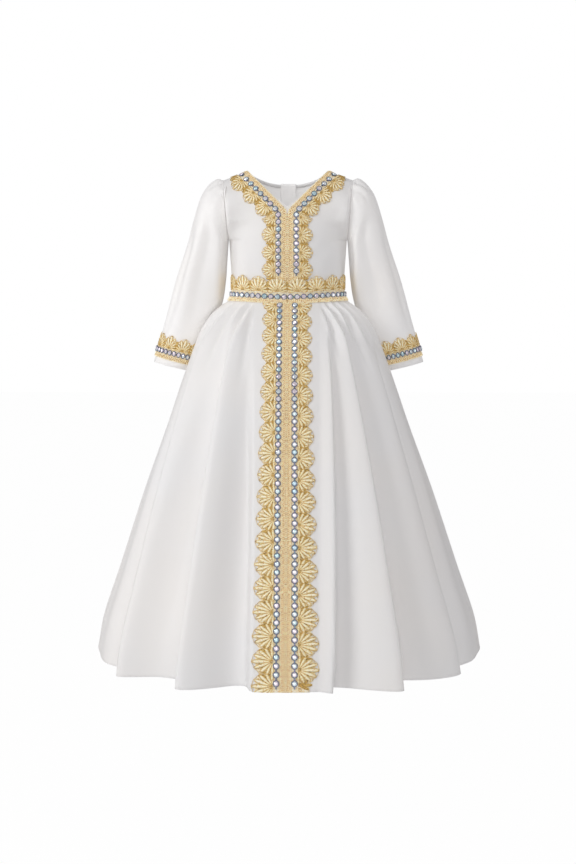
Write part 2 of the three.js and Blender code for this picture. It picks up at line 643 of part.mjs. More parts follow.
// The pull tab lies flat, its eye's top bar on the hinge line and its tongue below it.
function pullShape() {
  const outline = new THREE.Shape();
  const top = pull.bar / 2;
  outline.moveTo(-pull.halfWidth, top);
  outline.lineTo(-pull.halfWidth, -5.4);
  outline.lineTo(-1.7, -8);
  outline.lineTo(-2.9, -pull.length + 3);
  outline.absarc(0, -pull.length + 3, 2.9, Math.PI, Math.PI * 2, false);
  outline.lineTo(1.7, -8);
  outline.lineTo(pull.halfWidth, -5.4);
  outline.lineTo(pull.halfWidth, top);
  const eye = new THREE.Path();
  eye.moveTo(-pull.eye, top - pull.bar);
  eye.lineTo(pull.eye, top - pull.bar);
  eye.lineTo(pull.eye, -4.8);
  eye.lineTo(-pull.eye, -4.8);
  outline.holes.push(eye);
  const options = { depth: pull.thickness, bevelEnabled: false, curveSegments: 8 };
  const geometry = new THREE.ExtrudeGeometry(outline, options);
  geometry.rotateX(Math.PI / 2);
  geometry.translate(0, pull.thickness / 2, 0);
  return geometry;
}

// Both stand on the back, leaned to the cloth's own slope there.
const seat = backPoint(0, slider.height);
const below = backPoint(0, slider.height - 12);
const backLean = Math.atan2(below.y - seat.y, seat.z - below.z);
const hardware = new THREE.Group();
hardware.position.set(0, seat.y + seam + 0.1, slider.height);
hardware.rotation.set(backLean, 0, Math.PI);
dress.add(hardware);
const hingeRise = slider.plate + (slider.rise - slider.bridge) / 2;
const sliderMesh = new THREE.Mesh(sliderShape(), new THREE.MeshStandardMaterial(whitePaint));
sliderMesh.name = 'zip_slider';
hardware.add(sliderMesh);
const pullMesh = new THREE.Mesh(pullShape(), new THREE.MeshStandardMaterial(whitePaint));
pullMesh.name = 'zip_pull';
pullMesh.position.set(0, -hingeRise, 0);
hardware.add(pullMesh);

export default dress;
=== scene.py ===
"""A girl's floor-length dress in white satin, trimmed with gold scalloped galloon and
rhinestone chain, closed at the back by a zip.  It keeps the shape of the body that wears it,
with nobody in it."""

import math

import bpy
import numpy as np
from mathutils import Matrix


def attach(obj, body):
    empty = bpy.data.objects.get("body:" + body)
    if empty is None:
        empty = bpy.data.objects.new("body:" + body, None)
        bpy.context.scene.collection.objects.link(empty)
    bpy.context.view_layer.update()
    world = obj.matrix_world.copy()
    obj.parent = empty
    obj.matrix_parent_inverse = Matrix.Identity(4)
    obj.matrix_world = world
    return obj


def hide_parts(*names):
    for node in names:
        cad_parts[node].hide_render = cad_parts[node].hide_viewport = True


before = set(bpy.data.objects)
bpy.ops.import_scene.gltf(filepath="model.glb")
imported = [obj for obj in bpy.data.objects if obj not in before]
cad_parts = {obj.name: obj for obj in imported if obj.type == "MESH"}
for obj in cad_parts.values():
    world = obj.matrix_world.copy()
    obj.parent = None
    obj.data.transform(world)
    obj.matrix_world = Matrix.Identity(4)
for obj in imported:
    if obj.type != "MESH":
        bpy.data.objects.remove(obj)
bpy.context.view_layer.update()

# ---------------------------------------------------------------------------- studio
# A plain white sweep under soft light: a strong lamp high on the camera's left, weaker ones in
# front, above and at both sides, and a pale room all round.  The dress hangs at shoulder height.
studio = bpy.context.scene
studio.view_settings.view_transform = "Standard"
studio.view_settings.look = "None"
studio.view_settings.exposure = 0.0
studio.view_settings.gamma = 1.0

VIEW_DISTANCE = 2.6
VIEW_HEIGHT = -0.23
VIEW_PITCH = 5.08  # degrees below level
VIEW_ASIDE = 0.9  # degrees round towards the wearer's left
FOCAL_SHARE = 1.6855  # focal length as a share of the picture's height
SENSOR_HEIGHT = 24.0  # millimetres

camera_data = bpy.data.cameras.new("studio_camera")
camera_data.sensor_fit = "VERTICAL"
camera_data.sensor_height = SENSOR_HEIGHT
camera_data.lens = SENSOR_HEIGHT * FOCAL_SHARE
camera_data.clip_end = 50.0
camera = bpy.data.objects.new("studio_camera", camera_data)
aside = math.radians(VIEW_ASIDE)
camera.location = (VIEW_DISTANCE * math.sin(aside), -VIEW_DISTANCE * math.cos(aside), VIEW_HEIGHT)
camera.rotation_euler = (math.radians(90.0 - VIEW_PITCH), 0.0, aside)
studio.collection.objects.link(camera)
studio.camera = camera


class Wire:
    """One output in a node tree.  Sums written on it add Math nodes, and node() adds any
    other: its type, its settings first, then the values or links of its sockets."""

    def __init__(self, tree, socket=None):
        self.tree, self.socket = tree, socket

    def node(self, kind, settings=None, sockets=None, give=0):
        made = self.tree.nodes.new(kind)
        for name, value in (settings or {}).items():
            if name == "stops":
                ramp = made.color_ramp.elements
                while len(ramp) < len(value):
                    ramp.new(0.5)
                for stop, (place, colour) in zip(ramp, value):
                    stop.position, stop.color = place, (*colour, 1.0)
            else:
                setattr(made, name, value)
        for name, value in (sockets or {}).items():
            if isinstance(value, Wire):
                self.tree.links.new(value.socket, made.inputs[name])
            else:
                made.inputs[name].default_value = value
        return Wire(self.tree, made.outputs[give] if len(made.outputs) else None)

    def also(self, give):
        """Another output of the node that this one comes from."""
        return Wire(self.tree, self.socket.node.outputs[give])

    def sum(self, operation, first, second):
        return self.node("ShaderNodeMath", {"operation": operation}, {0: first, 1: second})

    def clipped(self):
        return self.node("ShaderNodeClamp", {}, {"Value": self})

    def step(self, low, high):
        """0 below low, 1 above high and smooth between them."""
        return self.node("ShaderNodeMapRange", {"interpolation_type": "SMOOTHSTEP"},
                         {"Value": self, "From Min": low, "From Max": high})

    def colour(self, first, second):
        """From the first colour, where this is 0, to the second, where it is 1."""
        return self.node("ShaderNodeMix", {"data_type": "RGBA"},
                         {0: self, 6: first, 7: second}, give=2)

    def __add__(self, other):
        return self.sum("ADD", self, other)

    def __sub__(self, other):
        return self.sum("SUBTRACT", self, other)

    def __mul__(self, other):
        return self.sum("MULTIPLY", self, other)

    def __truediv__(self, other):
        return self.sum("DIVIDE", self, other)

    def __pow__(self, other):
        return self.sum("POWER", self, other)

    def __rsub__(self, other):
        return self.sum("SUBTRACT", other, self)

    def __rtruediv__(self, other):
        return self.sum("DIVIDE", other, self)

    __radd__ = __add__
    __rmul__ = __mul__


def finish_named(name):
    """An empty material, as the wire that its nodes are added to."""
    material = bpy.data.materials.new(name)
    material.use_nodes = True
    material.node_tree.nodes.clear()
    return material, Wire(material.node_tree)


def place_lamp(name, place, aim, size, power, tint):
    lamp = bpy.data.lights.new(name, "AREA")
    lamp.shape, lamp.size, lamp.size_y = "RECTANGLE", size[0], size[1]
    lamp.energy, lamp.color = power, tint
    stand = bpy.data.objects.new(name, lamp)
    stand.location = place
    way = np.array(aim, float) - np.array(place, float)
    flat = math.hypot(way[0], way[1])
    stand.rotation_euler = (math.atan2(flat, -way[2]), 0.0, math.atan2(-way[0], way[1]))
    studio.collection.objects.link(stand)


place_lamp("key_lamp", (-3.3, -2.9, 1.3), (0.0, 0.0, -0.42), (1.8, 1.8), 60.0, (1.0, 1.0, 1.0))
place_lamp("front_lamp", (0.5, -3.9, 0.4), (0.0, 0.0, -0.40), (2.0, 2.0), 19.0, (1.0, 0.995, 1.0))
place_lamp("left_lamp", (-3.1, 0.3, 0.2), (0.0, 0.0, -0.45), (1.4, 1.8), 18.0, (1.0, 1.0, 1.0))
place_lamp("right_lamp", (3.1, 0.0, 0.2), (0.0, 0.0, -0.45), (1.4, 1.8), 12.0, (1.0, 0.99, 0.99))
place_lamp("top_lamp", (0.1, -1.7, 2.2), (0.0, 0.05, -0.1), (1.2, 1.2), 13.0, (1.0, 1.0, 1.0))

ROOM_LIGHT = 0.29
ROOM_TINT = (1.0, 0.98, 0.995)
room = bpy.data.worlds.new("studio_room")
room.use_nodes = True
room.node_tree.nodes.clear()
air = Wire(room.node_tree)
seen = air.node("ShaderNodeLightPath", {}, {}, give="Is Camera Ray")
light = air.node("ShaderNodeBackground", {}, {"Color": (*ROOM_TINT, 1.0), "Strength": ROOM_LIGHT})
sweep = air.node("ShaderNodeBackground", {}, {"Color": (1.0, 1.0, 1.0, 1.0), "Strength": 1.0})
both = air.node("ShaderNodeMixShader", {}, {0: seen, 1: light, 2: sweep})
air.node("ShaderNodeOutputWorld", {}, {"Surface": both})
studio.world = room

FLOOR_HEIGHT = -1.25
FLOOR_HALF = 14.0
floor_mesh = bpy.data.meshes.new("studio_floor")
floor_mesh.from_pydata(
    [(x * FLOOR_HALF, y * FLOOR_HALF, FLOOR_HEIGHT) for x, y in ((-1, -1), (1, -1), (1, 1), (-1, 1))],
    [], [(0, 1, 2, 3)])
studio_floor = bpy.data.objects.new("studio_floor", floor_mesh)
studio.collection.objects.link(studio_floor)
floor_finish, wire = finish_named("pale_floor")
bare = wire.node("ShaderNodeBsdfDiffuse", {}, {"Color": (0.90, 0.90, 0.90, 1.0)})
glow = wire.node("ShaderNodeEmission", {}, {"Color": (1.0, 1.0, 1.0, 1.0), "Strength": 1.0})
seen = wire.node("ShaderNodeLightPath", {}, {}, give="Is Camera Ray")
both = wire.node("ShaderNodeMixShader", {}, {0: seen * 0.985, 1: bare, 2: glow})
wire.node("ShaderNodeOutputMaterial", {}, {"Surface": both})
floor_mesh.materials.append(floor_finish)

# ---------------------------------------------------------------------------- bodice
# Three panels of heavy duchess satin: one front, and two backs that meet at the zip.  Each is
# cut flat, eased over the chest, and seamed at the shoulders, the sides and the armholes.
# Sizes are in millimetres up to the mesh, with the origin in the middle of the shoulder line.
WAIST, UNDERARM = -226.0, -120.0
NECK_HALF, NECK_FRONT, NECK_BACK = 71.0, -66.0, -19.0
SHOULDER_TIP = (113.0, -15.0)
SHOULDER_SLOPE = 15.0 / 42.0
ARMHOLE_HALF_DEPTH = 48.0
SEAM_SHIFT = 0.17
SATIN_THICK = 0.9
SIDES = (("left", 1), ("right", -1))  # the wearer's, and the way that x runs to each

# height, half width, depth in front, depth behind
TORSO_RINGS = (
    (-226, 99, 74, 68), (-190, 100, 76, 69), (-155, 102, 79, 72), (-120, 104, 80, 75),
    (-80, 107.1, 78, 76), (-15, 113, 74, 74), (30, 113, 72, 72),
)


def read(rings, column, place):
    """One column of a table of rings at a place down its first column, smooth between rows."""
    rows = np.array(rings, float)
    down = -1.0 if rows[-1, 0] < rows[0, 0] else 1.0
    at, held = rows[:, 0] * down, rows[:, column]
    before, after = np.maximum(np.arange(len(at)) - 1, 0), np.minimum(np.arange(len(at)) + 1, len(at) - 1)
    slope = (held[after] - held[before]) / (at[after] - at[before])
    place = np.clip(np.asarray(place, float) * down, at[0], at[-1])
    k = np.clip(np.searchsorted(at, place, side="right") - 1, 0, len(at) - 2)
    span = at[k + 1] - at[k]
    t = (place - at[k]) / span
    return ((2 * t**3 - 3 * t**2 + 1) * held[k] + (t**3 - 2 * t**2 + t) * span * slope[k]
            + (3 * t**2 - 2 * t**3) * held[k + 1] + (t**3 - t**2) * span * slope[k + 1])


def eased(low, high, value):
    t = np.clip((np.asarray(value, float) - low) / (high - low), 0, 1)
    return t * t * (3 - 2 * t)


def blend_of(first, second, share):
    return first + (second - first) * share


def shoulder_line(x):
    return SHOULDER_SLOPE * (NECK_HALF - np.abs(x))


def creases(x, z, marks):
    """Depth of soft creases drawn one by one: each runs from one place to another, with its width and depth,
    and dies away at both ends.  A negative depth is a trough."""
    total = np.zeros(np.broadcast(x, z).shape)
    for x0, z0, x1, z1, width, depth in marks:
        run = np.array([x1 - x0, z1 - z0], float)
        length = np.hypot(*run)
        run = run / length
        along = (x - x0) * run[0] + (z - z0) * run[1]
        off = (x - x0) * run[1] - (z - z0) * run[0]
        bow = 0.06 * length * np.sin(np.pi * np.clip(along / length, 0, 1))
        ends = eased(-0.12 * length, 0.3 * length, along) * (1 - eased(0.55 * length, 1.15 * length, along))
        total = total + depth * ends * np.exp(-((off - bow) / width) ** 2)
    return total


# x, z to x, z, width, depth: pulls from the underarm, soft flutes over the waist
FRONT_CREASES = (
    (98, -112, 52, -150, 9, -1.1), (96, -128, 60, -176, 8, 0.9), (72, -226, 66, -150, 7, -1.2),
    (54, -226, 52, -170, 6, 0.8), (88, -226, 84, -172, 6, 0.9), (104, -60, 76, -96, 8, -0.9),
    (-98, -114, -50, -146, 9, -1.0), (-94, -132, -66, -180, 9, 0.9), (-64, -226, -62, -158, 8, -1.1),
    (-82, -226, -78, -164, 6, 0.8), (-103, -64, -72, -104, 9, -0.9), (-48, -226, -46, -182, 5, 0.6),
)
BACK_CREASES = (
    (96, -118, 46, -158, 9, -1.2), (98, -134, 64, -186, 8, 1.0), (60, -226, 56, -140, 9, -1.3),
    (82, -226, 78, -168, 7, 0.9), (34, -226, 34, -168, 6, 0.8), (102, -52, 66, -84, 9, -1.0),
    (-96, -116, -48, -150, 10, -1.1), (-97, -136, -60, -190, 8, 1.0), (-54, -226, -52, -150, 8, -1.2),
    (-78, -226, -76, -172, 7, 0.9), (-30, -226, -32, -176, 6, 0.8), (-101, -56, -64, -90, 9, -1.0),
)


def raised(x, y, z):
    """How far the waist sits above its plain height: less in front, so that it dips there."""
    turned = np.where(y < 0, x * x / np.maximum(x * x + y * y, 1e-9), 1.0)
    return (2.0 + 5.0 * turned) * eased(UNDERARM + 2, WAIST + 38, z) * eased(WAIST - 120, WAIST - 12, z)


def torso(across, z, facing):
    """The bodice at a height: across runs -1 to 1 from side to side, facing is -1 in front."""
    across, z = np.broadcast_arrays(np.asarray(across, float), np.asarray(z, float))
    side = np.where(across < 0, -1.0, 1.0)
    share = np.sin(np.clip(np.abs(across), 0, 1) * np.pi / 2)
    x = read(TORSO_RINGS, 1, np.minimum(z, SHOULDER_TIP[1])) * share
    depth = read(TORSO_RINGS, 2 if facing < 0 else 3, z)
    above = eased(UNDERARM + 45, UNDERARM + 100, z)
    square = 2 + 0.4 * eased(WAIST, UNDERARM, z)
    crown = np.maximum(1 - share**square, 0) ** (1 / (2 - above))
    near_arm = share ** (blend_of(6.0, 3.0, eased(UNDERARM + 30, -35, z))
                         + 10 * (1 - eased(UNDERARM, UNDERARM + 34, z)))
    top = shoulder_line(x)
    t = np.clip((2 * z - top - UNDERARM) / (top - UNDERARM), -1, 1)
    armhole = ARMHOLE_HALF_DEPTH * np.sqrt(1 - t * t)
    rise = np.clip((z - UNDERARM) / (top - UNDERARM), 0, 1)
    round_over = np.sqrt(np.maximum(1 - rise**2.6, 0))
    y = armhole * near_arm + depth * round_over * crown + SEAM_SHIFT
    # creases lie square to the cloth, and are gone at the seams
    calm = (1 - share**10) * (1 - eased(0.75, 1, rise)) * eased(8, 26, np.abs(x))
    y = y + calm * creases(side * x, z, FRONT_CREASES if facing < 0 else BACK_CREASES)
    return np.stack([side * x, facing * y, z + raised(x, facing * y, z)], -1)


def bodice_top(across, facing):
    """The neckline, and past it the shoulder seam."""
    x = SHOULDER_TIP[0] * np.sin(np.abs(across) * np.pi / 2)
    t = np.minimum(x / NECK_HALF, 1)
    neck = (blend_of(NECK_FRONT, 0, t**1.12) if facing < 0 else blend_of(NECK_BACK, 0, t**2.4))
    return np.where(x < NECK_HALF, neck, shoulder_line(x))


def direction_of(ways):
    return ways / np.maximum(np.linalg.norm(ways, axis=-1, keepdims=True), 1e-12)


def cut_lengths(grid):
    """Distances in metres along the rows and up the columns of a grid: the cloth's own flat
    coordinates, with the weave running up the piece."""
    wide = np.linalg.norm(np.diff(grid, axis=1), axis=-1).cumsum(1)
    tall = np.linalg.norm(np.diff(grid, axis=0), axis=-1).cumsum(0)
    wide = np.concatenate([np.zeros((len(grid), 1)), wide], 1)
    tall = np.concatenate([np.zeros((1, grid.shape[1])), tall], 0)
    wide = wide - wide[:, grid.shape[1] // 2, None]
    return np.stack([wide, tall], -1) * 0.001


def mesh_of(name, points, faces, flat=None, finishes=()):
    """A mesh from points in millimetres, with the flat cut of the cloth as its UV map."""
    mesh = bpy.data.meshes.new(name)
    mesh.from_pydata((np.asarray(points, float).reshape(-1, 3) * 0.001).tolist(), [],
                     np.asarray(faces).tolist() if isinstance(faces, np.ndarray) else faces)
    if flat is not None:
        corner = np.empty(len(mesh.loops), np.int32)
        mesh.loops.foreach_get("vertex_index", corner)
        layer = mesh.uv_layers.new(name="cut")
        layer.data.foreach_set("uv", np.asarray(flat, np.float32).reshape(-1, 2)[corner].ravel())
    for finish in finishes:
        mesh.materials.append(finish)
    mesh.shade_smooth()
    mesh.validate()
    piece = bpy.data.objects.new(name, mesh)
    studio.collection.objects.link(piece)
    return piece


def grid_faces(rows, columns, round_off=False):
    """The cells of a grid of points, with the last column joined to the first if it is round."""
    r = np.arange(rows - 1)[:, None]
    c = np.arange(columns if round_off else columns - 1)[None, :]
    n = (c + 1) % columns
    return np.stack([r * columns + c, r * columns + n, (r + 1) * columns + n, (r + 1) * columns + c],
                    -1).reshape(-1, 4)


def turned_seams(grid, flip, edges, wide=6.0, gap=1.15):
    """Adds the seam allowances that are pressed back inside along these edges of a grid: "first"
    and "last" are its columns, "bottom" and "top" its first and last rows."""
    rows, columns = np.gradient(grid, axis=0), np.gradient(grid, axis=1)
    n = direction_of(np.cross(columns, rows) * flip)
    for edge in edges:
        axis = 1 if edge in ("first", "last") else 0
        near, next_in = (0, 1) if edge in ("first", "bottom") else (-1, -2)
        b, inner = np.take(grid, near, axis), np.take(grid, next_in, axis)
        square = np.take(n, near, axis)
        away = direction_of(b - inner)
        width = np.asarray(wide, float)
        width = width[:, None] if width.ndim and axis == 1 else width
        fold = [b + away * 0.10 - square * 0.55 * gap, b - away * 0.2 - square * 1.7 * gap,
                b - away * 0.5 * width - square * 1.9 * gap, b - away * width - square * 1.9 * gap]
        if near == 0:
            fold = fold[::-1]
        fold = np.stack(fold, axis)
        same = np.stack([square] * fold.shape[axis], axis)
        grid = np.concatenate([fold, grid] if near == 0 else [grid, fold], axis)
        n = np.concatenate([same, n] if near == 0 else [n, same], axis)
    return grid


def cloth_panel(name, grid, finish, flip, round_off=False, thick=SATIN_THICK, glow_inside=False):
    """A panel of cloth with its own thickness, kept on the inside of the grid of points; a panel can have a
    second finish on its inside, a painted glow that stands in for daylight coming through the cloth."""
    grid = np.asarray(grid, float)
    faces = grid_faces(grid.shape[0], grid.shape[1], round_off)
    if flip < 0:
        faces = faces[:, ::-1]
    piece = mesh_of(name, grid, faces, cut_lengths(grid), [finish])
    wall = piece.modifiers.new("thickness", "SOLIDIFY")
    wall.thickness, wall.offset, wall.use_rim = thick * 0.001, -1.0, True
    wall.use_even_offset = False
    # painted glow: the inside of the panel gets the satin that gives off light of its own
    if glow_inside:
        piece.data.materials.append(satin_inside)
        wall.material_offset = 1
    return piece


def noise_over(wire, dimensions, place, scale, detail, roughness):
    return wire.node("ShaderNodeTexNoise", {"noise_dimensions": dimensions},
                     {"Vector": place, "Scale": scale, "Detail": detail, "Roughness": roughness})


def close_finish(wire, sockets):
    """Ends a material in the standard shader with these sockets."""
    shader = wire.node("ShaderNodeBsdfPrincipled", {}, sockets)
    wire.node("ShaderNodeOutputMaterial", {}, {"Surface": shader})


SATIN_COOL, SATIN_WARM = (0.925, 0.918, 0.915, 1.0), (0.945, 0.925, 0.905, 1.0)
SATIN_THREAD = (0.80, 0.79, 0.80, 1.0)


def satin_finish(name, glow=0.0):
    """Heavy duchess satin: a close five-end weave whose floats run up the cloth, a soft broad shine, and the
    faint unevenness of pressed cloth.  A glow above nought is painted light: the cloth gives off a little
    light of its own."""
    material, wire = finish_named(name)
    place = wire.node("ShaderNodeTexCoord", give="UV")
    body = wire.node("ShaderNodeTexCoord", give="Object")
    cut = wire.node("ShaderNodeMapping", {}, {"Vector": place, "Scale": (1800.0, 900.0, 1.0)})
    floats = noise_over(wire, "2D", cut, 1.0, 2.0, 0.6)
    long_cut = wire.node("ShaderNodeMapping", {}, {"Vector": place, "Scale": (2600.0, 60.0, 1.0)})
    slubs = noise_over(wire, "2D", long_cut, 1.0, 3.0, 0.55)
    pressed = noise_over(wire, "3D", body, 17.0, 4.0, 0.55)
    broad = noise_over(wire, "3D", body, 4.5, 2.0, 0.5)
    colour = broad.step(0.35, 0.7).colour(SATIN_COOL, SATIN_WARM)
    colour = (slubs.step(0.42, 0.62) * 0.05 + floats * 0.05).colour(colour, SATIN_THREAD)
    weave = wire.node("ShaderNodeBump", {}, {"Height": floats * 0.5 + slubs * 0.5,
                                             "Strength": 0.16, "Distance": 0.00012})
    press = wire.node("ShaderNodeBump", {}, {"Height": pressed, "Strength": 0.22,
                                             "Distance": 0.0016, "Normal": weave})
    close_finish(wire, {"Base Color": colour, "Roughness": slubs * 0.10 + 0.40 + floats * 0.05,
                        "Normal": press, "Specular IOR Level": 0.36, "Sheen Weight": 0.22,
                        "Sheen Roughness": 0.5, "Sheen Tint": (1.0, 0.985, 0.97, 1.0),
                        "Emission Color": (1.0, 0.99, 0.985, 1.0), "Emission Strength": glow})
    return material


white_satin = satin_finish("white_satin")
# painted glow: the inside of the back panels gives off light of its own, standing in for daylight through the
# cloth
satin_inside = satin_finish("satin_inside", glow=0.185)


def bodice_grid(us, facing):
    top = bodice_top(us, facing)
    lower = np.linspace(WAIST, UNDERARM, 25)[:-1]
    t = (1 - np.cos(np.pi * np.linspace(0, 1, 46))) / 2
    z = np.concatenate([np.repeat(lower[:, None], len(us), 1), UNDERARM + (top - UNDERARM) * t[:, None]])
    u = np.repeat(us[None, :], len(z), 0)
    return torso(u, z, facing)


def close_at_ends(start, stop, count, crowd=0.9):
    """Places from start to stop, closer together at both ends."""
    t = np.linspace(0, 1, count)
    return start + (stop - start) * blend_of(t, (1 - np.cos(np.pi * t)) / 2, crowd)


neck_across = 2 / np.pi * math.asin(NECK_HALF / SHOULDER_TIP[0])
half_across = np.concatenate([np.linspace(0, neck_across, 34), close_at_ends(neck_across, 1, 26, 0.5)[1:]])
full_across = np.concatenate([-half_across[:0:-1], half_across])

bodice_front_grid = turned_seams(bodice_grid(full_across, -1), 1, ("top", "first", "last"))
bodice_front = cloth_panel("satin_bodice_front", bodice_front_grid, white_satin, 1)
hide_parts("bodice_front")
bodice_backs = {}
for word, side in SIDES:
    us = side * np.maximum(half_across, 0.002)
    grid = turned_seams(bodice_grid(us, 1), -side, ("top", "last"))
    panel = cloth_panel(f"satin_bodice_back_{word}", grid, white_satin, -side, glow_inside=True)
    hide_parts(f"bodice_back_{word}")
    bodice_backs[word] = (panel, grid)
for panel in (bodice_front, *(held[0] for held in bodice_backs.values())):
    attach(panel, "dress")

# ---------------------------------------------------------------------------- sleeves
# Two one-piece sleeves in the same satin.  The head is gathered a little and eased into the
# armhole, the arm hangs full and soft, and the cuff is turned up 25 mm and pressed.
# out x, out z, in x, in z, half the depth and how far back, ring by ring from the armhole
SLEEVE_RINGS = (
    (0, 114, -15, 105, -120, 48, 0), (1, 127, -16, 105.6, -125, 52, 1),
    (2, 143, -27, 106.3, -132, 55, 3), (3, 155, -46, 107.2, -143, 55, 6),
    (4, 167, -82, 108.8, -163, 53, 11), (5, 181, -130, 111.5, -192, 49, 20),
    (6, 202, -190, 119, -232, 44, 33), (7, 223, -262, 140, -286, 40, 47),
    (8, 245.5, -336.5, 168.5, -355.5, 37, 59),
)
LAST_RING = 8.0
LOWER_SLEEVE = math.hypot(245.5 - 223, 336.5 - 262)
TURN_UP = 25.0
TURN_GAP = 1.25

# where round the sleeve (0 outermost, 0.25 in front), width, depth, from ring, to ring, sweep
SLEEVE_FOLDS = (
    (0.055, 0.022, -2.6, 0.0, 2.8, 0.02), (0.100, 0.018, 2.0, 0.0, 2.4, 0.02),
    (0.145, 0.020, -2.4, 0.0, 3.2, 0.03), (0.190, 0.016, 1.5, 0.0, 1.9, 0.02),
    (-0.050, 0.022, -2.6, 0.0, 2.9, -0.02), (-0.098, 0.018, 2.0, 0.0, 2.2, -0.02),
    (-0.150, 0.020, -2.2, 0.0, 3.0, -0.03), (0.004, 0.018, 1.8, 0.0, 2.5, 0.0),
    (0.235, 0.050, -3.2, 2.6, 7.4, 0.05), (0.150, 0.050, 2.6, 3.2, 7.9, 0.04),
    (0.345, 0.045, 2.4, 2.2, 7.0, 0.04), (0.400, 0.035, -2.0, 1.2, 5.2, 0.03),
    (0.075, 0.045, -2.2, 4.0, 8.0, 0.03), (-0.200, 0.050, -3.0, 2.4, 7.4, -0.04),
    (-0.120, 0.050, 2.2, 3.4, 7.8, -0.02), (-0.300, 0.050, 2.4, 2.0, 7.0, -0.04),
    (-0.385, 0.035, -1.8, 1.0, 5.4, -0.02),
)


def sleeve_surface(side):
    def at(turn, ring):
        turn, ring = np.broadcast_arrays(np.asarray(turn, float), np.asarray(ring, float))
        held = np.clip(ring, 0, LAST_RING)
        swing, across = np.cos(turn * 2 * np.pi), np.sin(turn * 2 * np.pi)
        inner = np.stack([read(SLEEVE_RINGS, 3, held), read(SLEEVE_RINGS, 4, held)], -1)
        outer = np.stack([read(SLEEVE_RINGS, 1, held), read(SLEEVE_RINGS, 2, held)], -1)
        half_deep, back = read(SLEEVE_RINGS, 5, held), read(SLEEVE_RINGS, 6, held)
        flat = blend_of(inner, outer, (1 + swing[..., None]) / 2)
        reach = np.linalg.norm(outer - inner, axis=-1) / 2
        # out of the oval, in its own plane: along the inner-to-outer line, and to the front
        line = (outer - inner) / (2 * reach[..., None])
        out_line, out_front = swing / np.maximum(reach, 1), across / np.maximum(half_deep, 1)
        size = np.hypot(out_line, out_front)
        out_line, out_front = out_line / size, out_front / size
        push = np.zeros_like(turn)
        for k, (place, width, depth, first, last, sweep) in enumerate(SLEEVE_FOLDS):
            # the two sleeves don't fall alike
            shift = 0.012 * math.sin(2.7 * k + (0 if side > 0 else 1.9))
            grow = 1 + 0.25 * math.sin(1.9 * k + (0.4 if side > 0 else 2.6))
            along = (ring - first) / (last - first)
            middle = place + shift + sweep * along + 0.01 * np.sin(1.6 * ring + k)
            off = (turn - middle + 0.5) % 1.0 - 0.5
            ends = eased(0, 0.25, along) * (1 - eased(0.6, 1, along)) if first > 0 else (
                eased(0.0, 0.25, along) * (1 - eased(0.25, 1, along)))
            push = push + (1.9 if first > 0 else 1.4) * depth * grow * ends * np.exp(-((off / width) ** 2))
        push = push * (1 - eased(LAST_RING - 0.55, LAST_RING, ring) * 0.75)
        x = flat[..., 0] + line[..., 0] * out_line * push
        z = flat[..., 1] + line[..., 1] * out_line * push
        y = back - half_deep * across - out_front * push
        return np.stack([side * x, y, z], -1)
    return at


def cuff_ring(up):
    """The ring at a distance up from the cuff's edge."""
    return LAST_RING - up / LOWER_SLEEVE


def square_to(surface, u, v, flip, round_u=False):
    """Outward normals of surface(u, v), read a hair inside its edges."""
    middle = (v[:1] + v[-1:]) / 2
    v_in = blend_of(v, middle, 1e-4)
    u_in = u if round_u else blend_of(u, (u.min() + u.max()) / 2, 1e-3)
    h = 1e-4
    along_u = surface(u_in + h, v_in) - surface(u_in - h, v_in)
    along_v = surface(u_in, v_in + h) - surface(u_in, v_in - h)
    return direction_of(np.cross(along_u, along_v) * flip)


def square_along(surface, us, place, flip, round_u):
    """Outward normals along one row of a surface."""
    rows = np.broadcast_to(place, (3, len(us))).copy()
    return square_to(surface, us[None, :].repeat(3, 0), rows, flip, round_u)[1]


def turned_edge(surface, us, edge, inward, turn_up, flip, round_u=False):
    """The rows past an edge where the cloth is folded in and pressed: round the fold, then back
    up inside.  edge is the row's place, and inward(u, up) the place a distance back from it."""
    rows = []
    n = square_along(surface, us, edge, flip, round_u)
    base = surface(us, np.full(len(us), edge))
    up_way = direction_of(surface(us, inward(2.0)) - base)
    for turn in (0.3, 0.7):
        a = math.pi * turn
        rows.append(base - n * TURN_GAP * (1 - math.cos(a)) - up_way * TURN_GAP * 0.6 * math.sin(a))
    for up in (0.6, 4.0, turn_up * 0.5, turn_up - 1.5, turn_up):
        held = inward(up)
        normal = square_along(surface, us, held, flip, round_u)
        gap = 2 * TURN_GAP - 0.7 * (up == turn_up)
        rows.append(surface(us, np.broadcast_to(held, (len(us),))) - normal * gap)
    return rows


# painted glow: the sleeves give off a little light of their own, which brightens them where the body shades
# them
sleeve_satin = satin_finish("sleeve_satin", glow=0.085)
SLEEVE_AROUND = 120
sleeves = {}
for word, side in SIDES:
    surface = sleeve_surface(side)
    turns = np.arange(SLEEVE_AROUND) / SLEEVE_AROUND
    rings = np.concatenate([np.linspace(0, 0.5, 14)[:-1], np.linspace(0.5, LAST_RING, 86)])
    grid = surface(turns[None, :].repeat(len(rings), 0), rings[:, None].repeat(len(turns), 1))
    rows = turned_edge(surface, turns, LAST_RING, lambda up: np.full(SLEEVE_AROUND, cuff_ring(up)),
                       TURN_UP, side, True)
    # the allowance at the head runs on inside the armhole
    head = grid[0]
    square = square_along(surface, turns, 0.02, side, True)
    into = np.array([-side, 0.0, 0.0])
    tuck = np.stack([head + into * reach - square * deep
                     for reach, deep in ((8.0, 3.4), (3.0, 2.6), (0.5, 1.3))])
    grid = np.concatenate([tuck, grid, np.stack(rows)])
    panel = cloth_panel(f"satin_sleeve_{word}", grid, sleeve_satin, side, round_off=True)
    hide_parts(f"sleeve_{word}")
    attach(panel, "dress")
    sleeves[word] = (panel, grid, surface)

# ---------------------------------------------------------------------------- skirt
# A full flared skirt in three panels, gathered on to the waist seam and falling in deep soft
# folds to the floor.  The hem is turned up 25 mm and pressed.  The middle of the front lies
# flat, because the galloon that is sewn down it is stiff.
HEM = -860.0
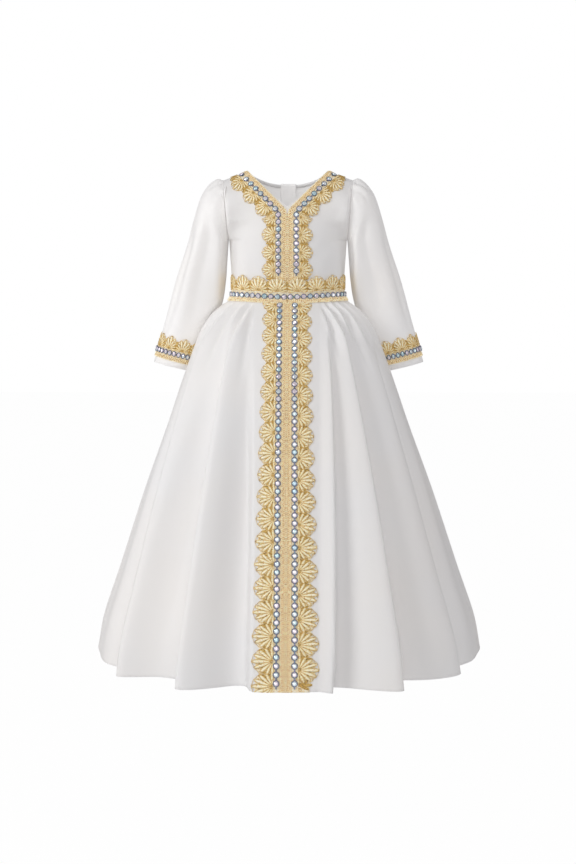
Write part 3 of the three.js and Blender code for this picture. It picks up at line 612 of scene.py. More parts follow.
# height, half width, depth in front, depth behind, how far forward the middle sits
SKIRT_RINGS = (
    (-226, 100, 75, 69, 0), (-236, 107, 79, 72, 1), (-252, 127, 88, 78, 4), (-275, 147, 99, 84, 9),
    (-300, 161, 109, 90, 14), (-355, 181, 128, 108, 20), (-441, 209, 158, 150, 14),
    (-590, 257, 205, 212, 4), (-706, 294, 241, 252, 0), (-800, 325, 268, 280, 0),
    (-860, 338, 282, 294, 0),
)
# angle at the top and at the hem, where it starts, depth, width, sideways lean, which way it
# rolls; 0 is the middle of the front and 90 the wearer's left
SKIRT_FOLDS = (
    (-40, -30.5, -240, 46, 5.9, 18, -1), (-72, -54, -250, 48, 6.6, 18, -1),
    (30.5, 13.0, -238, 46, 6.2, 15, 1), (42, 32.0, -245, 66, 6.2, 21, 1), (66, 60, -300, 28, 8, 8, 1),
    (108, 104, -250, 30, 9, 8, 1), (136, 134, -240, 42, 8, 11, 1), (160, 162, -300, 22, 7, 5, -1),
    (-108, -106, -250, 32, 9, 8, -1), (-134, -130, -240, 40, 8.5, 11, -1),
    (-158, -159, -300, 24, 7.5, 5, 1),
)
# gathers let out from under the waist trim: angle, width, depth, length, sideways drift
SKIRT_GATHERS = (
    (27, 1.9, 4.0, 90, 1.5), (31.0, 1.6, -4.6, 130, 2), (34.8, 1.7, 4.2, 105, 3), (39, 1.8, -4.8, 150, 1),
    (43.5, 1.8, 4.2, 95, 4), (48, 2.0, -4.4, 140, 6), (53, 2.0, 3.6, 85, 5), (58.5, 2.2, -3.6, 110, 6),
    (65, 2.4, 3.0, 85, 5), (73, 3.0, -2.8, 100, 5), (82, 3.4, 2.6, 90, 4), (91, 3.4, -2.4, 80, 4),
    (-26, 1.8, -3.2, 170, 1), (-31, 2.2, 3.6, 95, -1), (-36, 2.0, -4.6, 150, -3), (-42, 2.4, 3.6, 110, -1),
    (-49, 2.4, -4.0, 135, -4), (-57, 2.6, 3.2, 100, -4), (-65, 2.8, -3.2, 120, -4),
    (-73, 3.2, 2.2, 80, -4), (-82, 3.6, -2.2, 85, -5),
    (-92, 3.6, 2.2, 80, -4), (100, 3.6, -2.8, 100, 4), (108, 3.2, 2.8, 85, 3), (116, 3.2, -3.2, 110, 3),
    (124, 3.0, 3.0, 80, 3), (132, 2.8, -3.4, 125, 2), (139, 2.6, 3.2, 95, 2), (146, 2.4, -3.2, 110, 2),
    (152, 2.2, 2.8, 80, 1), (158, 2.2, -2.6, 90, 1), (-101, 3.6, -2.8, 105, -4), (-110, 3.2, 2.8, 90, -4),
    (-118, 3.2, -3.2, 115, -3), (-126, 3.0, 2.8, 85, -3), (-134, 2.8, -3.2, 120, -2),
    (-141, 2.6, 3.0, 85, -2), (-148, 2.4, -3.0, 105, -2), (-154, 2.2, 2.6, 75, -1), (-160, 2.2, -2.4, 85, -1),
)
# long ridges, and troughs where the depth is negative, two of them deep and down to the hem:
# angle at the top and hem, start, end, width, depth
SKIRT_RIPPLES = (
    (24, 20, -290, -520, 2.6, 2.2), (57, 48, -330, -900, 4.6, 4.0), (82, 76, -360, -900, 5.5, 4.0),
    (70, 62, -290, -560, 3.6, -3.6), (-52, -42, -380, -900, 5.0, 2.4), (-30, -24, -330, -760, 3.4, 2.0),
    (-18.5, -14.2, -250, -1400, 6.5, -33), (-48, -42.5, -290, -1400, 5.5, -28),
    (-88, -74, -330, -900, 5.5, 4.0),
    (96, 94, -420, -900, 5.0, 4.0), (118, 116, -320, -900, 4.6, 5.0), (126, 124, -400, -820, 4.0, -4.0),
    (146, 146, -330, -900, 4.4, 4.8), (154, 155, -380, -760, 3.8, -3.6), (-96, -92, -420, -900, 5.0, 4.0),
    (-118, -117, -340, -900, 4.6, 5.0), (-126, -123, -400, -780, 4.2, -4.2),
    (-145, -144, -320, -900, 4.4, 4.8),
    (-152, -151, -420, -900, 3.8, -3.4),
)


def skirt_at(angle, z):
    """The skirt at an angle from the front and a height."""
    angle, z = np.broadcast_arrays(np.asarray(angle, float), np.asarray(z, float))
    a = np.radians(angle)
    half = read(SKIRT_RINGS, 1, z)
    depth = np.where(np.abs(angle) <= 90, read(SKIRT_RINGS, 2, z), read(SKIRT_RINGS, 3, z))
    x, y = half * np.sin(a), -depth * np.cos(a) - read(SKIRT_RINGS, 4, z)
    out = direction_of(np.stack([np.sin(a) / half, -np.cos(a) / depth], -1))
    aside = np.stack([-out[..., 1], out[..., 0]], -1)
    near_back = 180 - np.abs(angle)
    front_calm = np.where(np.abs(angle) <= 90, eased(54, 72, half * np.abs(np.sin(a))), 1.0)
    back_calm = blend_of(eased(3, 16, near_back), eased(0, 9, near_back), eased(-330, -500, z))
    calm = front_calm * back_calm
    push, lean = np.zeros_like(z), np.zeros_like(z)
    for top, hem, start, deep, width, sideways, roll in SKIRT_FOLDS:
        drop = np.clip((start - z) / (start - HEM), 0, 1)
        grow = eased(-238, -290, z) * drop**0.60
        middle = blend_of(top, hem, drop**0.6)
        crest = (angle - middle + roll * width * 0.45) / width
        trough = (angle - middle - roll * width * 0.45) / width
        bump = np.exp(-crest**2 * np.where(crest * roll > 0, 2.2, 0.7))
        dip = np.exp(-trough**2 * np.where(trough * roll > 0, 0.7, 2.2))
        push = push + grow * deep * 0.62 * (bump - dip)
        lean = lean + grow * sideways * roll * (bump - dip)
    for place, width, deep, length, drift in SKIRT_GATHERS:
        along = (-230 - z) / length
        here = place + drift * np.clip(along, 0, 1)
        swell = eased(-0.02, 0.16, along) * (1 - eased(0.25, 1.0, along))
        push = push + 1.7 * deep * swell * np.exp(-(((angle - here) / width) ** 2))
    for top, hem, start, end, width, deep in SKIRT_RIPPLES:
        along = (start - z) / (start - end)
        here = blend_of(top, hem, np.clip((start - z) / (start - HEM), 0, 1) ** 0.7)
        swell = eased(0, 0.35, along) * (1 - eased(0.75, 1.0, along))
        push = push + deep * swell * np.exp(-(((angle - here) / width) ** 2))
    x = x + calm * (out[..., 0] * push + aside[..., 0] * lean)
    y = y + calm * (out[..., 1] * push + aside[..., 1] * lean)
    return np.stack([x, y, z + raised(x, y, z)], -1)


def band_half(z):
    """Half the width of the flat middle that the two galloons cover."""
    return blend_of(42.0, 53.0, eased(WAIST, HEM, z))


def skirt_front_at(u, z):
    """The front panel: u is -1 to 1 over the flat middle, and 2 at the side seams."""
    u, z = np.broadcast_arrays(np.asarray(u, float), np.asarray(z, float))
    edge = np.arcsin(np.clip(band_half(z) / read(SKIRT_RINGS, 1, z), 0, 1))
    flat = np.arcsin(np.clip(u, -1, 1) * np.sin(edge))
    beyond = blend_of(edge, np.pi / 2, np.clip(np.abs(u) - 1, 0, 1)) * np.sign(u)
    point = skirt_at(np.degrees(np.where(np.abs(u) <= 1, flat, beyond)), z)
    point[..., 1] -= SEAM_SHIFT
    return point


def skirt_back_at(side):
    def at(angle, z):
        point = skirt_at(side * angle, z)
        point[..., 1] += SEAM_SHIFT
        point[..., 0] += side * SEAM_SHIFT * eased(150, 180, angle)
        return point
    return at


def skirt_rows(count):
    """Heights down the skirt, closer together under the waist where the gathers are."""
    t = np.linspace(0, 1, count)
    return WAIST + (HEM - WAIST) * (0.62 * t + 0.38 * t**2)


def skirt_panel(name, node, surface, us, rows, flip, seams):
    z = skirt_rows(rows)
    grid = surface(us[None, :].repeat(rows, 0), z[:, None].repeat(len(us), 1))
    past = turned_edge(surface, us, HEM, lambda up: np.full(len(us), HEM + up), TURN_UP, -flip)
    flat = len(grid)
    grid = np.concatenate([grid, np.stack(past)])
    # the seams are pressed open above the turned hem, and the back one only below the zip
    for edge, open_from in seams:
        wide = 9.0 * eased(open_from + 4, open_from - 8, z)
        wide = 0.3 + wide * (1 - eased(HEM + 34, HEM + 27, z))
        wide = np.concatenate([wide, np.full(len(grid) - flat, 0.3)])
        grid = turned_seams(grid, flip, (edge,), wide, 0.6 if open_from < WAIST else 1.15)
    panel = cloth_panel(name, grid, white_satin, flip)
    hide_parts(node)
    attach(panel, "dress")
    return panel, grid


band_columns = np.linspace(-1, 1, 61)
side_columns = 1 + close_at_ends(0, 1, 91, 0.3)[1:]
front_columns = np.concatenate([-side_columns[::-1], band_columns, side_columns])
skirt_front, skirt_front_grid = skirt_panel("satin_skirt_front", "skirt_front", skirt_front_at,
                                            front_columns, 170, -1, (("first", WAIST), ("last", WAIST)))
BACK_SEAM_TOP = -338.0  # the centre back seam starts just under the zip
skirt_backs = {}
for word, side in SIDES:
    skirt_backs[word] = skirt_panel(f"satin_skirt_back_{word}", f"skirt_back_{word}",
                                    skirt_back_at(side), close_at_ends(90, 180, 130, 0.3), 150, -side,
                                    (("first", WAIST), ("last", BACK_SEAM_TOP)))

# ---------------------------------------------------------------------------- gold galloon
# The trim is bought by the metre: a fishbone braid, a bare strip for the rhinestones, and a row
# of lace fans worked in gold cord over a gold net ground.  It is sewn on flat, and its edge
# follows the scallops.  It is made flat here too, and then laid on the cloth.
GROUND_LIFT, GROUND_THICK, CORD_LIFT = 0.45, 0.35, 1.15


def gold_finish(name, light, deep, shade, metal, gloss, twist, glow, root=None):
    """Lurex cord: gold strip wound on a core, with a painted highlight where the winding turns to the light
    and in random glints, and painted shade, brown, where it dips between stitches.  Petals have painted shade
    at the root, so they are paler towards their tips.  A glow above nought is a painted glow of the gold's
    own."""
    material, wire = finish_named(name)
    lay = wire.node("ShaderNodeTexCoord", give="UV")
    slant = wire.node("ShaderNodeMapping", {}, {"Vector": lay, "Rotation": (0.0, 0.0, 0.7)})
    winding = wire.node("ShaderNodeTexWave", {"wave_type": "BANDS", "bands_direction": "X"},
                        {"Vector": slant, "Scale": twist, "Distortion": 1.5, "Detail": 1.0,
                         "Detail Scale": 2.0}, give="Fac")
    stitch = noise_over(wire, "2D", lay, 400.0, 1.0, 0.5)
    painted_glint = noise_over(wire, "2D", lay, 300.0, 2.0, 0.5)
    # painted highlight: brighter where the winding turns to the light and in random glints
    painted_highlight = (winding * 0.25 + painted_glint.step(0.40, 0.60) * 0.80).clipped()
    colour = painted_highlight.colour((*deep, 1.0), (*light, 1.0))
    # painted shade at the petal roots, where they spring from a tight spot
    if root is not None:
        across = wire.node("ShaderNodeSeparateXYZ", {}, {"Vector": lay}, give="Y")
        colour = ((1.0 - across.step(root, root + 0.015)) * 0.8).colour(colour, (*deep, 1.0))
    # painted shade: brown where the stitches dip, for the shade between them
    dip = 1.0 - stitch.step(0.32, 0.40)
    colour = (dip * 0.80).colour(colour, (*shade, 1.0))
    bump = wire.node("ShaderNodeBump", {}, {"Height": winding * 0.5 + stitch * 0.8,
                                            "Strength": 0.6, "Distance": 0.0003})
    # the emission is a painted glow: the gold gives off a little light of its own
    close_finish(wire, {"Base Color": colour, "Metallic": metal, "Roughness": gloss - winding * 0.08,
                        "Normal": bump, "Specular IOR Level": 0.6,
                        "Emission Color": (1.0, 0.80, 0.46, 1.0), "Emission Strength": glow})
    return material


# highlight, base and painted-shade colours, then metal, gloss, twist, the painted glow, and where the painted
# shade at the petal roots ends
gold_cord = gold_finish("gold_cord", (0.97, 0.73, 0.27), (0.72, 0.45, 0.10), (0.24, 0.12, 0.03), 0.12,
                        0.40, 420.0, 0.03, 0.0205)
gold_fill = gold_finish("gold_fill", (1.0, 0.98, 0.84), (1.0, 0.90, 0.58), (0.62, 0.38, 0.12), 0.04,
                        0.42, 420.0, 0.12, 0.0205)
gold_braid = gold_finish("gold_braid", (1.0, 0.97, 0.80), (1.0, 0.88, 0.58), (0.40, 0.22, 0.06), 0.04,
                         0.44, 380.0, 0.18)


def net_finish():
    """Gold net ground: fine mesh in duller thread, with the white cloth showing in its holes, and painted
    shade, dark brown, in the holes under the braid.  It has a faint painted glow of its own.
    """
    material, wire = finish_named("gold_net")
    lay = wire.node("ShaderNodeTexCoord", give="UV")
    cells = wire.node("ShaderNodeTexVoronoi", {"feature": "F1", "voronoi_dimensions": "2D"},
                      {"Vector": lay, "Scale": 430.0, "Randomness": 0.55}, give="Distance")
    patch = noise_over(wire, "2D", lay, 260.0, 2.0, 0.6)
    thread = cells.step(0.30, 0.52)
    across = wire.node("ShaderNodeSeparateXYZ", {}, {"Vector": lay}, give="Y")
    # painted shade: under the braid the holes are dark brown, for the shade between its stitches; further out
    # the white cloth shows through
    holes_and_braid_shade = across.step(0.0078, 0.0092).colour((0.62, 0.40, 0.16, 1.0), (1.0, 0.95, 0.82, 1.0))
    yarn = patch.step(0.34, 0.58).colour((0.78, 0.55, 0.25, 1.0), (1.0, 0.86, 0.55, 1.0))
    bump = wire.node("ShaderNodeBump", {}, {"Height": thread, "Strength": 0.8, "Distance": 0.0003})
    # painted glow: the net gives off a little light of its own
    close_finish(wire, {"Base Color": thread.colour(holes_and_braid_shade, yarn),
                        "Metallic": 0.04, "Roughness": 0.62 - thread * 0.14, "Normal": bump,
                        "Emission Color": (1.0, 0.80, 0.48, 1.0), "Emission Strength": 0.08})
    return material


gold_net = net_finish()


def tube(path, radius, sides=4, closed=False):
    """A cord along a path, with its faces outward; the ends are left narrow and shut."""
    path = np.asarray(path, float)
    count = len(path)
    radius = np.broadcast_to(np.asarray(radius, float), (count,))
    ahead = direction_of(np.roll(path, -1, 0) - np.roll(path, 1, 0) if closed else np.gradient(path, axis=0))
    up = direction_of(np.array([0.0, 0.0, 1.0]) - ahead * ahead[:, 2:])
    beside = np.cross(up, ahead)
    turn = (np.arange(sides) + 0.5) * 2 * np.pi / sides
    ring = np.cos(turn)[None, :, None] * beside[:, None] + np.sin(turn)[None, :, None] * up[:, None]
    points = (path[:, None] + radius[:, None, None] * ring).reshape(-1, 3)
    faces = (grid_faces(count + closed, sides, True) % (count * sides)).tolist()
    if not closed:
        faces.append(tuple(reversed(range(sides))))
        faces.append(tuple((count - 1) * sides + j for j in range(sides)))
    return points, faces


def cut_off(part, length):
    """A part of a trim with what lies past the end of its length cut away."""
    points, faces = part
    past = points[:, 0] > length
    points = np.column_stack([np.minimum(points[:, 0], length), points[:, 1:]])
    return points, [f for f in faces if not all(past[list(f)])]


def joined(parts):
    """Several (points, faces) as one."""
    points, faces, start = [], [], 0
    for p, f in parts:
        points.append(p)
        faces.extend(tuple(i + start for i in face) for face in f)
        start += len(p)
    return np.concatenate(points), faces


def outline_reach(angle, wide, tall):
    """How far a fan's petals reach at an angle from straight out."""
    return 1.0 / np.sqrt((np.sin(angle) / wide) ** 2 + (np.cos(angle) / tall) ** 2)


def leaf(reach, half_angle, out, beside, rise):
    """The satin-stitched filling of one petal: a long low dome, shut underneath."""
    t = np.linspace(0.10, 0.97, 8)
    along = reach * t
    half = half_angle * reach * 0.86 * np.sin(np.pi * np.clip(t, 0, 1) ** 1.35 * 0.92) ** 0.62
    points = []
    for share, height in ((-1.0, 0.0), (0.0, 1.0), (1.0, 0.0)):
        flat = along[:, None] * out + (share * half)[:, None] * beside
        points.append(np.column_stack([flat, 0.10 + height * rise * np.sin(np.pi * t) ** 0.5]))
    n = len(t)
    faces = []
    for k in range(n - 1):
        faces += [(k, k + n, k + n + 1, k + 1), (k + n, k + 2 * n, k + 2 * n + 1, k + n + 1),
                  (k, k + 1, k + 2 * n + 1, k + 2 * n)]
    faces += [(0, 2 * n, n), (n - 1, 2 * n - 1, 3 * n - 1)]
    return np.concatenate(points), faces


def petal_ways(angle):
    """Out along a petal at an angle from straight out, and across it."""
    return (np.array([math.sin(angle), math.cos(angle)]),
            np.array([math.cos(angle), -math.sin(angle)]))


def petal_loop(reach, half_width, steps, out, beside):
    """A looped petal: narrow where it springs from, round at the tip.  Its points seen flat,
    and how far along the petal each one is."""
    swing = 2 * np.pi * np.linspace(0, 1, steps)[:-1]
    along = reach * (0.545 - 0.425 * np.cos(swing))
    width = half_width * np.sin(swing) * (0.35 + 0.65 * (1 - np.cos(swing)) / 2)
    return along[:, None] * out + width[:, None] * beside, along


FAN_PETALS, FAN_SPREAD = 9, math.radians(86)


def fan_unit(wide, tall):
    """One fan: looped petals of cord that spring from a tight spot by the chain, each filled
    with satin stitch, and a thin scalloped cord that ties their tips.  x runs along the trim.
    Given as the cords and the fillings."""
    parts, fillings = [], []
    angles = np.linspace(-FAN_SPREAD, FAN_SPREAD, FAN_PETALS)
    gap = angles[1] - angles[0]
    for k, a in enumerate(angles):
        reach = outline_reach(a, wide, tall) * (1.0 + 0.02 * math.sin(5.1 * k))
        out, beside = petal_ways(a)
        flat, along = petal_loop(reach, gap * reach * 0.40, 15, out, beside)
        height = 0.25 + 0.55 * np.sin(np.pi * np.clip(along / reach, 0, 1)) + 0.10 * (k % 2)
        parts.append(tube(np.column_stack([flat, height]), 0.34 + 0.12 * along / reach, 4, True))
        fillings.append(leaf(reach, gap * 0.40, out, beside, 0.75))
    edge = np.linspace(-FAN_SPREAD - gap * 0.4, FAN_SPREAD + gap * 0.4, 61)
    swell = 0.985 + 0.03 * np.abs(np.cos((edge - angles[0]) / gap * np.pi))
    reach = outline_reach(edge, wide, tall) * swell
    cord = np.column_stack([reach * np.sin(edge), reach * np.cos(edge), np.full(61, 0.2)])
    parts.append(tube(cord, 0.30, 3))
    turn = np.linspace(0, 2 * np.pi, 9)[:-1]
    knot = np.column_stack([1.5 * np.cos(turn), 0.9 + 1.2 * np.sin(turn), np.full(8, 0.9)])
    parts.append(tube(knot, 0.55, 4, True))
    return joined(parts), joined(fillings)


def sprig_unit(tall):
    """Three short petals that fill the dip between one fan and the next."""
    parts = []
    for a, share in ((-0.42, 0.80), (0.0, 1.0), (0.42, 0.80)):
        out, beside = petal_ways(a)
        parts.append(leaf(tall * share, 0.13, out, beside, 0.6))
        flat, _ = petal_loop(tall * share, 0.15 * tall * share, 11, out, beside)
        parts.append(tube(np.column_stack([flat, np.full(10, 0.3)]), 0.34, 3, True))
    return joined(parts)


def fishbone_unit(width, pitch):
    """One pair of slanted stitches of the flat braid."""
    parts = []
    for way in (-1, 1):
        t = np.linspace(0, 1, 4)
        across = 0.5 * width * (1 + way * (0.04 + 0.92 * t))
        along = pitch * (0.15 + 0.95 * t)
        parts.append(tube(np.column_stack([along, across, 0.30 + 0.55 * np.sin(np.pi * t)]),
                          [0.42, 0.66, 0.66, 0.42], 4))
    return joined(parts)


def dots_unit():
    """One knot of the dotted line down the middle of the front."""
    turn = np.linspace(0, 2 * np.pi, 7)[:-1]
    low = np.column_stack([0.85 * np.cos(turn), 0.85 * np.sin(turn), np.zeros(6)])
    high = np.column_stack([0.5 * np.cos(turn), 0.5 * np.sin(turn), np.full(6, 0.6)])
    faces = [(k, (k + 1) % 6, (k + 1) % 6 + 6, k + 6) for k in range(6)] + [tuple(range(6, 12))]
    return np.concatenate([low, high]), faces


def loops_unit(pitch, height):
    """One small filling loop of the footing that the fans stand on."""
    t = np.linspace(0, 1, 9)[:-1]
    swing = 2 * np.pi * t
    path = np.column_stack([pitch * 0.42 * np.sin(swing), height * (0.5 - 0.5 * np.cos(swing)),
                            0.25 + 0.35 * np.sin(np.pi * t)])
    return tube(path, 0.42, 3, True)


def repeat_tree():
    """Sets one unit of the trim over and over along x, each a little different."""
    tree = bpy.data.node_groups.new("galloon_repeat", "GeometryNodeTree")
    for name, kind in (("Unit", "NodeSocketGeometry"), ("Count", "NodeSocketInt"),
                       ("Pitch", "NodeSocketFloat"), ("Growth", "NodeSocketFloat"),
                       ("Sway", "NodeSocketFloat"), ("Seed", "NodeSocketInt"),
                       ("Finish", "NodeSocketMaterial")):
        tree.interface.new_socket(name, in_out="INPUT", socket_type=kind)
    tree.interface.new_socket("Trim", in_out="OUTPUT", socket_type="NodeSocketGeometry")
    wire = Wire(tree)
    given = wire.node("NodeGroupInput", give="Unit")
    number = wire.node("GeometryNodeInputIndex")
    pitch, growth = given.also("Pitch"), given.also("Growth")
    row = wire.node("GeometryNodeMeshLine", {}, {"Count": given.also("Count")})
    grown = growth * number
    along = pitch * number * (grown * 0.5 + 1.0) - pitch * growth * number * 0.5
    place = wire.node("ShaderNodeCombineXYZ", {}, {"X": along})
    stood = wire.node("GeometryNodeSetPosition", {}, {"Geometry": row, "Position": place})
    sway = given.also("Sway")
    turn = wire.node("FunctionNodeRandomValue", {"data_type": "FLOAT"},
                     {2: sway * -1.0, 3: sway, "Seed": given.also("Seed")}, give=1)
    swell = wire.node("FunctionNodeRandomValue", {"data_type": "FLOAT"},
                      {2: 1.0 - sway * 0.6, 3: sway * 0.6 + 1.0, "Seed": given.also("Seed") + 7.0}, give=1)
    size = wire.node("ShaderNodeCombineXYZ", {}, {"X": (grown + 1.0) * swell, "Y": 1.0, "Z": 1.0})
    spun = wire.node("ShaderNodeCombineXYZ", {}, {"Z": turn})
    set_out = wire.node("GeometryNodeInstanceOnPoints", {},
                        {"Points": stood, "Instance": given, "Rotation": spun, "Scale": size})
    whole = wire.node("GeometryNodeRealizeInstances", {}, {"Geometry": set_out})
    dyed = wire.node("GeometryNodeSetMaterial", {}, {"Geometry": whole, "Material": given.also("Finish")})
    wire.node("NodeGroupOutput", {}, {0: dyed})
    return tree


galloon_repeat = repeat_tree()


def grown_by(tree, seed_mesh, values):
    """The plain mesh that a node tree makes from this one, which is used up."""
    holder = bpy.data.objects.new(seed_mesh.name, seed_mesh)
    studio.collection.objects.link(holder)
    modifier = holder.modifiers.new(tree.name, "NODES")
    modifier.node_group = tree
    for item in tree.interface.items_tree:
        if item.in_out == "INPUT" and item.name in values:
            modifier[item.identifier] = values[item.name]
    seen = holder.evaluated_get(bpy.context.evaluated_depsgraph_get())
    mesh = bpy.data.meshes.new_from_object(seen)
    bpy.data.objects.remove(holder)
    bpy.data.meshes.remove(seed_mesh)
    return mesh


def repeated(unit_part, count, pitch, growth=0.0, sway=0.0, seed=1):
    """This many of a unit of the trim in a row, as points and faces."""
    points, faces = unit_part
    unit_mesh = bpy.data.meshes.new("trim_unit")
    unit_mesh.from_pydata(points.tolist(), [], faces)
    mesh = grown_by(galloon_repeat, unit_mesh, {
        "Count": count, "Pitch": float(pitch), "Growth": float(growth),
        "Sway": float(sway), "Seed": seed, "Finish": gold_cord})
    points = np.empty(len(mesh.vertices) * 3, np.float32)
    mesh.vertices.foreach_get("co", points)
    corner = np.empty(len(mesh.loops), np.int32)
    mesh.loops.foreach_get("vertex_index", corner)
    start = np.empty(len(mesh.polygons), np.int32)
    mesh.polygons.foreach_get("loop_start", start)
    faces = [tuple(f) for f in np.split(corner, start[1:])]
    bpy.data.meshes.remove(mesh)
    return points.reshape(-1, 3).astype(float), faces


def placed(part, along=0.0, across=0.0, lift=0.0):
    points, faces = part
    return points + np.array([along, across, lift]), faces


NET_STEP, NET_COLUMNS = 1.7, 9


def ground_strip(length, low, edge_at):
    """The net ground from its straight edge to its scalloped one, with a thickness."""
    columns = NET_COLUMNS
    rows = max(int(length / NET_STEP), 2)
    s = np.linspace(0, length, rows + 1)
    t = np.linspace(0, 1, columns)
    high = edge_at(s)
    flat = np.stack([np.broadcast_to(s[:, None], (rows + 1, columns)),
                     low + (high - low)[:, None] * t], -1)
    top = np.concatenate([flat, np.full(flat.shape[:2] + (1,), GROUND_THICK)], -1)
    under = np.concatenate([flat, np.zeros(flat.shape[:2] + (1,))], -1)
    cells = grid_faces(rows + 1, columns)
    n = (rows + 1) * columns
    faces = [tuple(f) for f in cells[:, ::-1]] + [tuple(f + n) for f in cells]
    rim = ([(r * columns, (r + 1) * columns) for r in range(rows)]
           + [((r + 1) * columns - 1 + columns, (r + 1) * columns - 1) for r in range(rows)]
           + [(c + 1, c) for c in range(columns - 1)]
           + [(rows * columns + c, rows * columns + c + 1) for c in range(columns - 1)])
    faces += [(a, a + n, b + n, b) for a, b in rim]
    return np.concatenate([top.reshape(-1, 3), under.reshape(-1, 3)]), faces


CORD_STEP, CORD_WAVE_PITCH = 1.6, 4.0


def run_cord(length, across, lift, radius, wave):
    s = np.linspace(0, length, max(int(length / CORD_STEP), 3))
    sway = wave * np.sin(2 * np.pi * s / CORD_WAVE_PITCH)
    path = np.column_stack([s, across + sway, np.full(len(s), lift)])
    return tube(path, radius, 4)


def sewn_on(name, parts, lay, finishes, mirrored=False):
    """One mesh from flat parts, laid on the cloth by lay(along, across, height).  parts are
    (points, faces, finish number); a mirrored trim has its faces turned back outward."""
    flat, faces = joined([part[:2] for part in parts])
    kinds = np.repeat([part[2] for part in parts], [len(part[1]) for part in parts])
    if mirrored:
        faces = [face[::-1] for face in faces]
    piece = mesh_of(name, lay(flat[:, 0], flat[:, 1], flat[:, 2]), faces, flat[:, :2] * 0.001, finishes)
    piece.data.polygons.foreach_set("material_index", kinds.astype(np.int32)[:len(piece.data.polygons)])
    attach(piece, "dress")
    return piece

# The four places that the galloon goes.  Each has a lay() that takes a place on the flat trim,
# along, across and up in millimetres, to its place on the dress.
def on_surface(surface, u, v, lift, flip, step_u, step_v):
    """Points lifted off a surface along its normals."""
    along_u = surface(u + step_u, v) - surface(u - step_u, v)
    along_v = surface(u, v + step_v) - surface(u, v - step_v)
    return surface(u, v) + direction_of(np.cross(along_u, along_v) * flip) * lift[:, None]


EDGE_BRAID = (0.4, 7.0)
FOOT_START = 17.8
NET_FROM_FAN, DIP = 0.88, 0.60


def scallops(pitch, first, growth, base, wide, tall, count):
    """The scalloped edge of the net at a distance along, under fans of this size."""
    k = np.arange(count)
    centre = first + pitch * k * (1 + growth * (k - 1) / 2)
    scale = 1 + growth * k

    def at(s):
        off = (s[:, None] - centre[None, :]) / (wide * NET_FROM_FAN * scale[None, :])
        rise = np.sqrt(np.clip(1 - off**2, 0, 1)).max(1)
        return base + tall * (DIP + (NET_FROM_FAN - DIP) * rise)
    return at


STITCH_PITCH, LOOP_PITCH, LOOP_HEIGHT, SPRIG_SHARE = 3.3, 4.1, 4.4, 0.70


def galloon_parts(length, first_fan, pitch, fans, fan_size, growth=0.0, seed=3, fan_base=FOOT_START,
                  braid=EDGE_BRAID):
    """All the flat parts of one length of galloon; finish 0 is cord, 1 braid, 2 net, 3 filling."""
    wide, tall = fan_size
    parts = []
    for fan_part, kind in zip(fan_unit(wide, tall), (0, 3)):
        fan_row = repeated(fan_part, fans, pitch, growth, 0.05, seed)
        parts.append((*placed(fan_row, first_fan, fan_base + 0.8, CORD_LIFT), kind))
    sprigs = repeated(sprig_unit(tall * SPRIG_SHARE), fans + 1, pitch, growth, 0.08, seed + 5)
    parts.append((*placed(sprigs, first_fan - pitch / 2, fan_base + 0.8, CORD_LIFT - 0.35), 0))
    stitches = max(int(length / STITCH_PITCH), 1)
    bone = fishbone_unit(braid[1] - braid[0], STITCH_PITCH)
    bones = repeated(bone, stitches, length / stitches, 0.0, 0.04, seed + 1)
    parts.append((*placed(bones, 0.0, braid[0], CORD_LIFT - 0.1), 1))
    loops = max(int(length / LOOP_PITCH), 1)
    foot = repeated(loops_unit(LOOP_PITCH, LOOP_HEIGHT), loops, length / loops, 0.0, 0.10, seed + 2)
    parts.append((*placed(foot, 0.0, fan_base + 0.4, CORD_LIFT - 0.3), 0))
    for across, radius in ((braid[0], 0.5), (braid[1] + 0.2, 0.5), (fan_base, 0.55)):
        parts.append((*run_cord(length, across, CORD_LIFT + 0.1, radius, 0.12), 1))
    edge = scallops(pitch, first_fan, growth, fan_base, wide, tall, fans)
    parts.append((*placed(ground_strip(length, braid[0] - 0.2, edge), 0.0, 0.0, GROUND_LIFT), 2))
    return [(*cut_off((points, faces), length + 0.3), kind) for points, faces, kind in parts]


LACE_FINISHES = (gold_cord, gold_braid, gold_net, gold_fill)


def run_along(line):
    """The distance run at each point of a line."""
    return np.concatenate([[0], np.linalg.norm(np.diff(line, axis=0), axis=1).cumsum()])

# ---- down the skirt: from under the waist trim to the hem, side by side on the flat middle
SKIRT_TRIM_TOP, SKIRT_TRIM_END = -233.0, HEM - 1.0
skirt_line = np.linspace(SKIRT_TRIM_TOP, SKIRT_TRIM_END, 700)
skirt_front_line = skirt_front_at(np.zeros(len(skirt_line)), skirt_line)
skirt_run = run_along(skirt_front_line)
SKIRT_TRIM_LENGTH = float(skirt_run[-1])
SKIRT_FAN_START, SKIRT_FAN_REACH = 19.0, 42.0


def skirt_trim_place(along, across):
    z = np.interp(along, skirt_run, skirt_line)
    swell = (band_half(z) - SKIRT_FAN_START) / (SKIRT_FAN_REACH - SKIRT_FAN_START)
    x = np.where(across < SKIRT_FAN_START, across, SKIRT_FAN_START + (across - SKIRT_FAN_START) * swell)
    return x + 0.05 + 2.0 * eased(0, SKIRT_TRIM_LENGTH, along) * eased(0, 13, across), z


def skirt_seen_at(x, z):
    """The skirt front at a distance across, seen from the front."""
    point = skirt_at(np.degrees(np.arcsin(np.clip(x / read(SKIRT_RINGS, 1, z), -1, 1))), z)
    point[..., 1] -= SEAM_SHIFT
    return point


def lay_down_skirt(side):
    def lay(along, across, lift):
        x, z = skirt_trim_place(along, across)
        return on_surface(skirt_seen_at, side * x, z, lift, 1.0, 0.15, 0.3)
    return lay


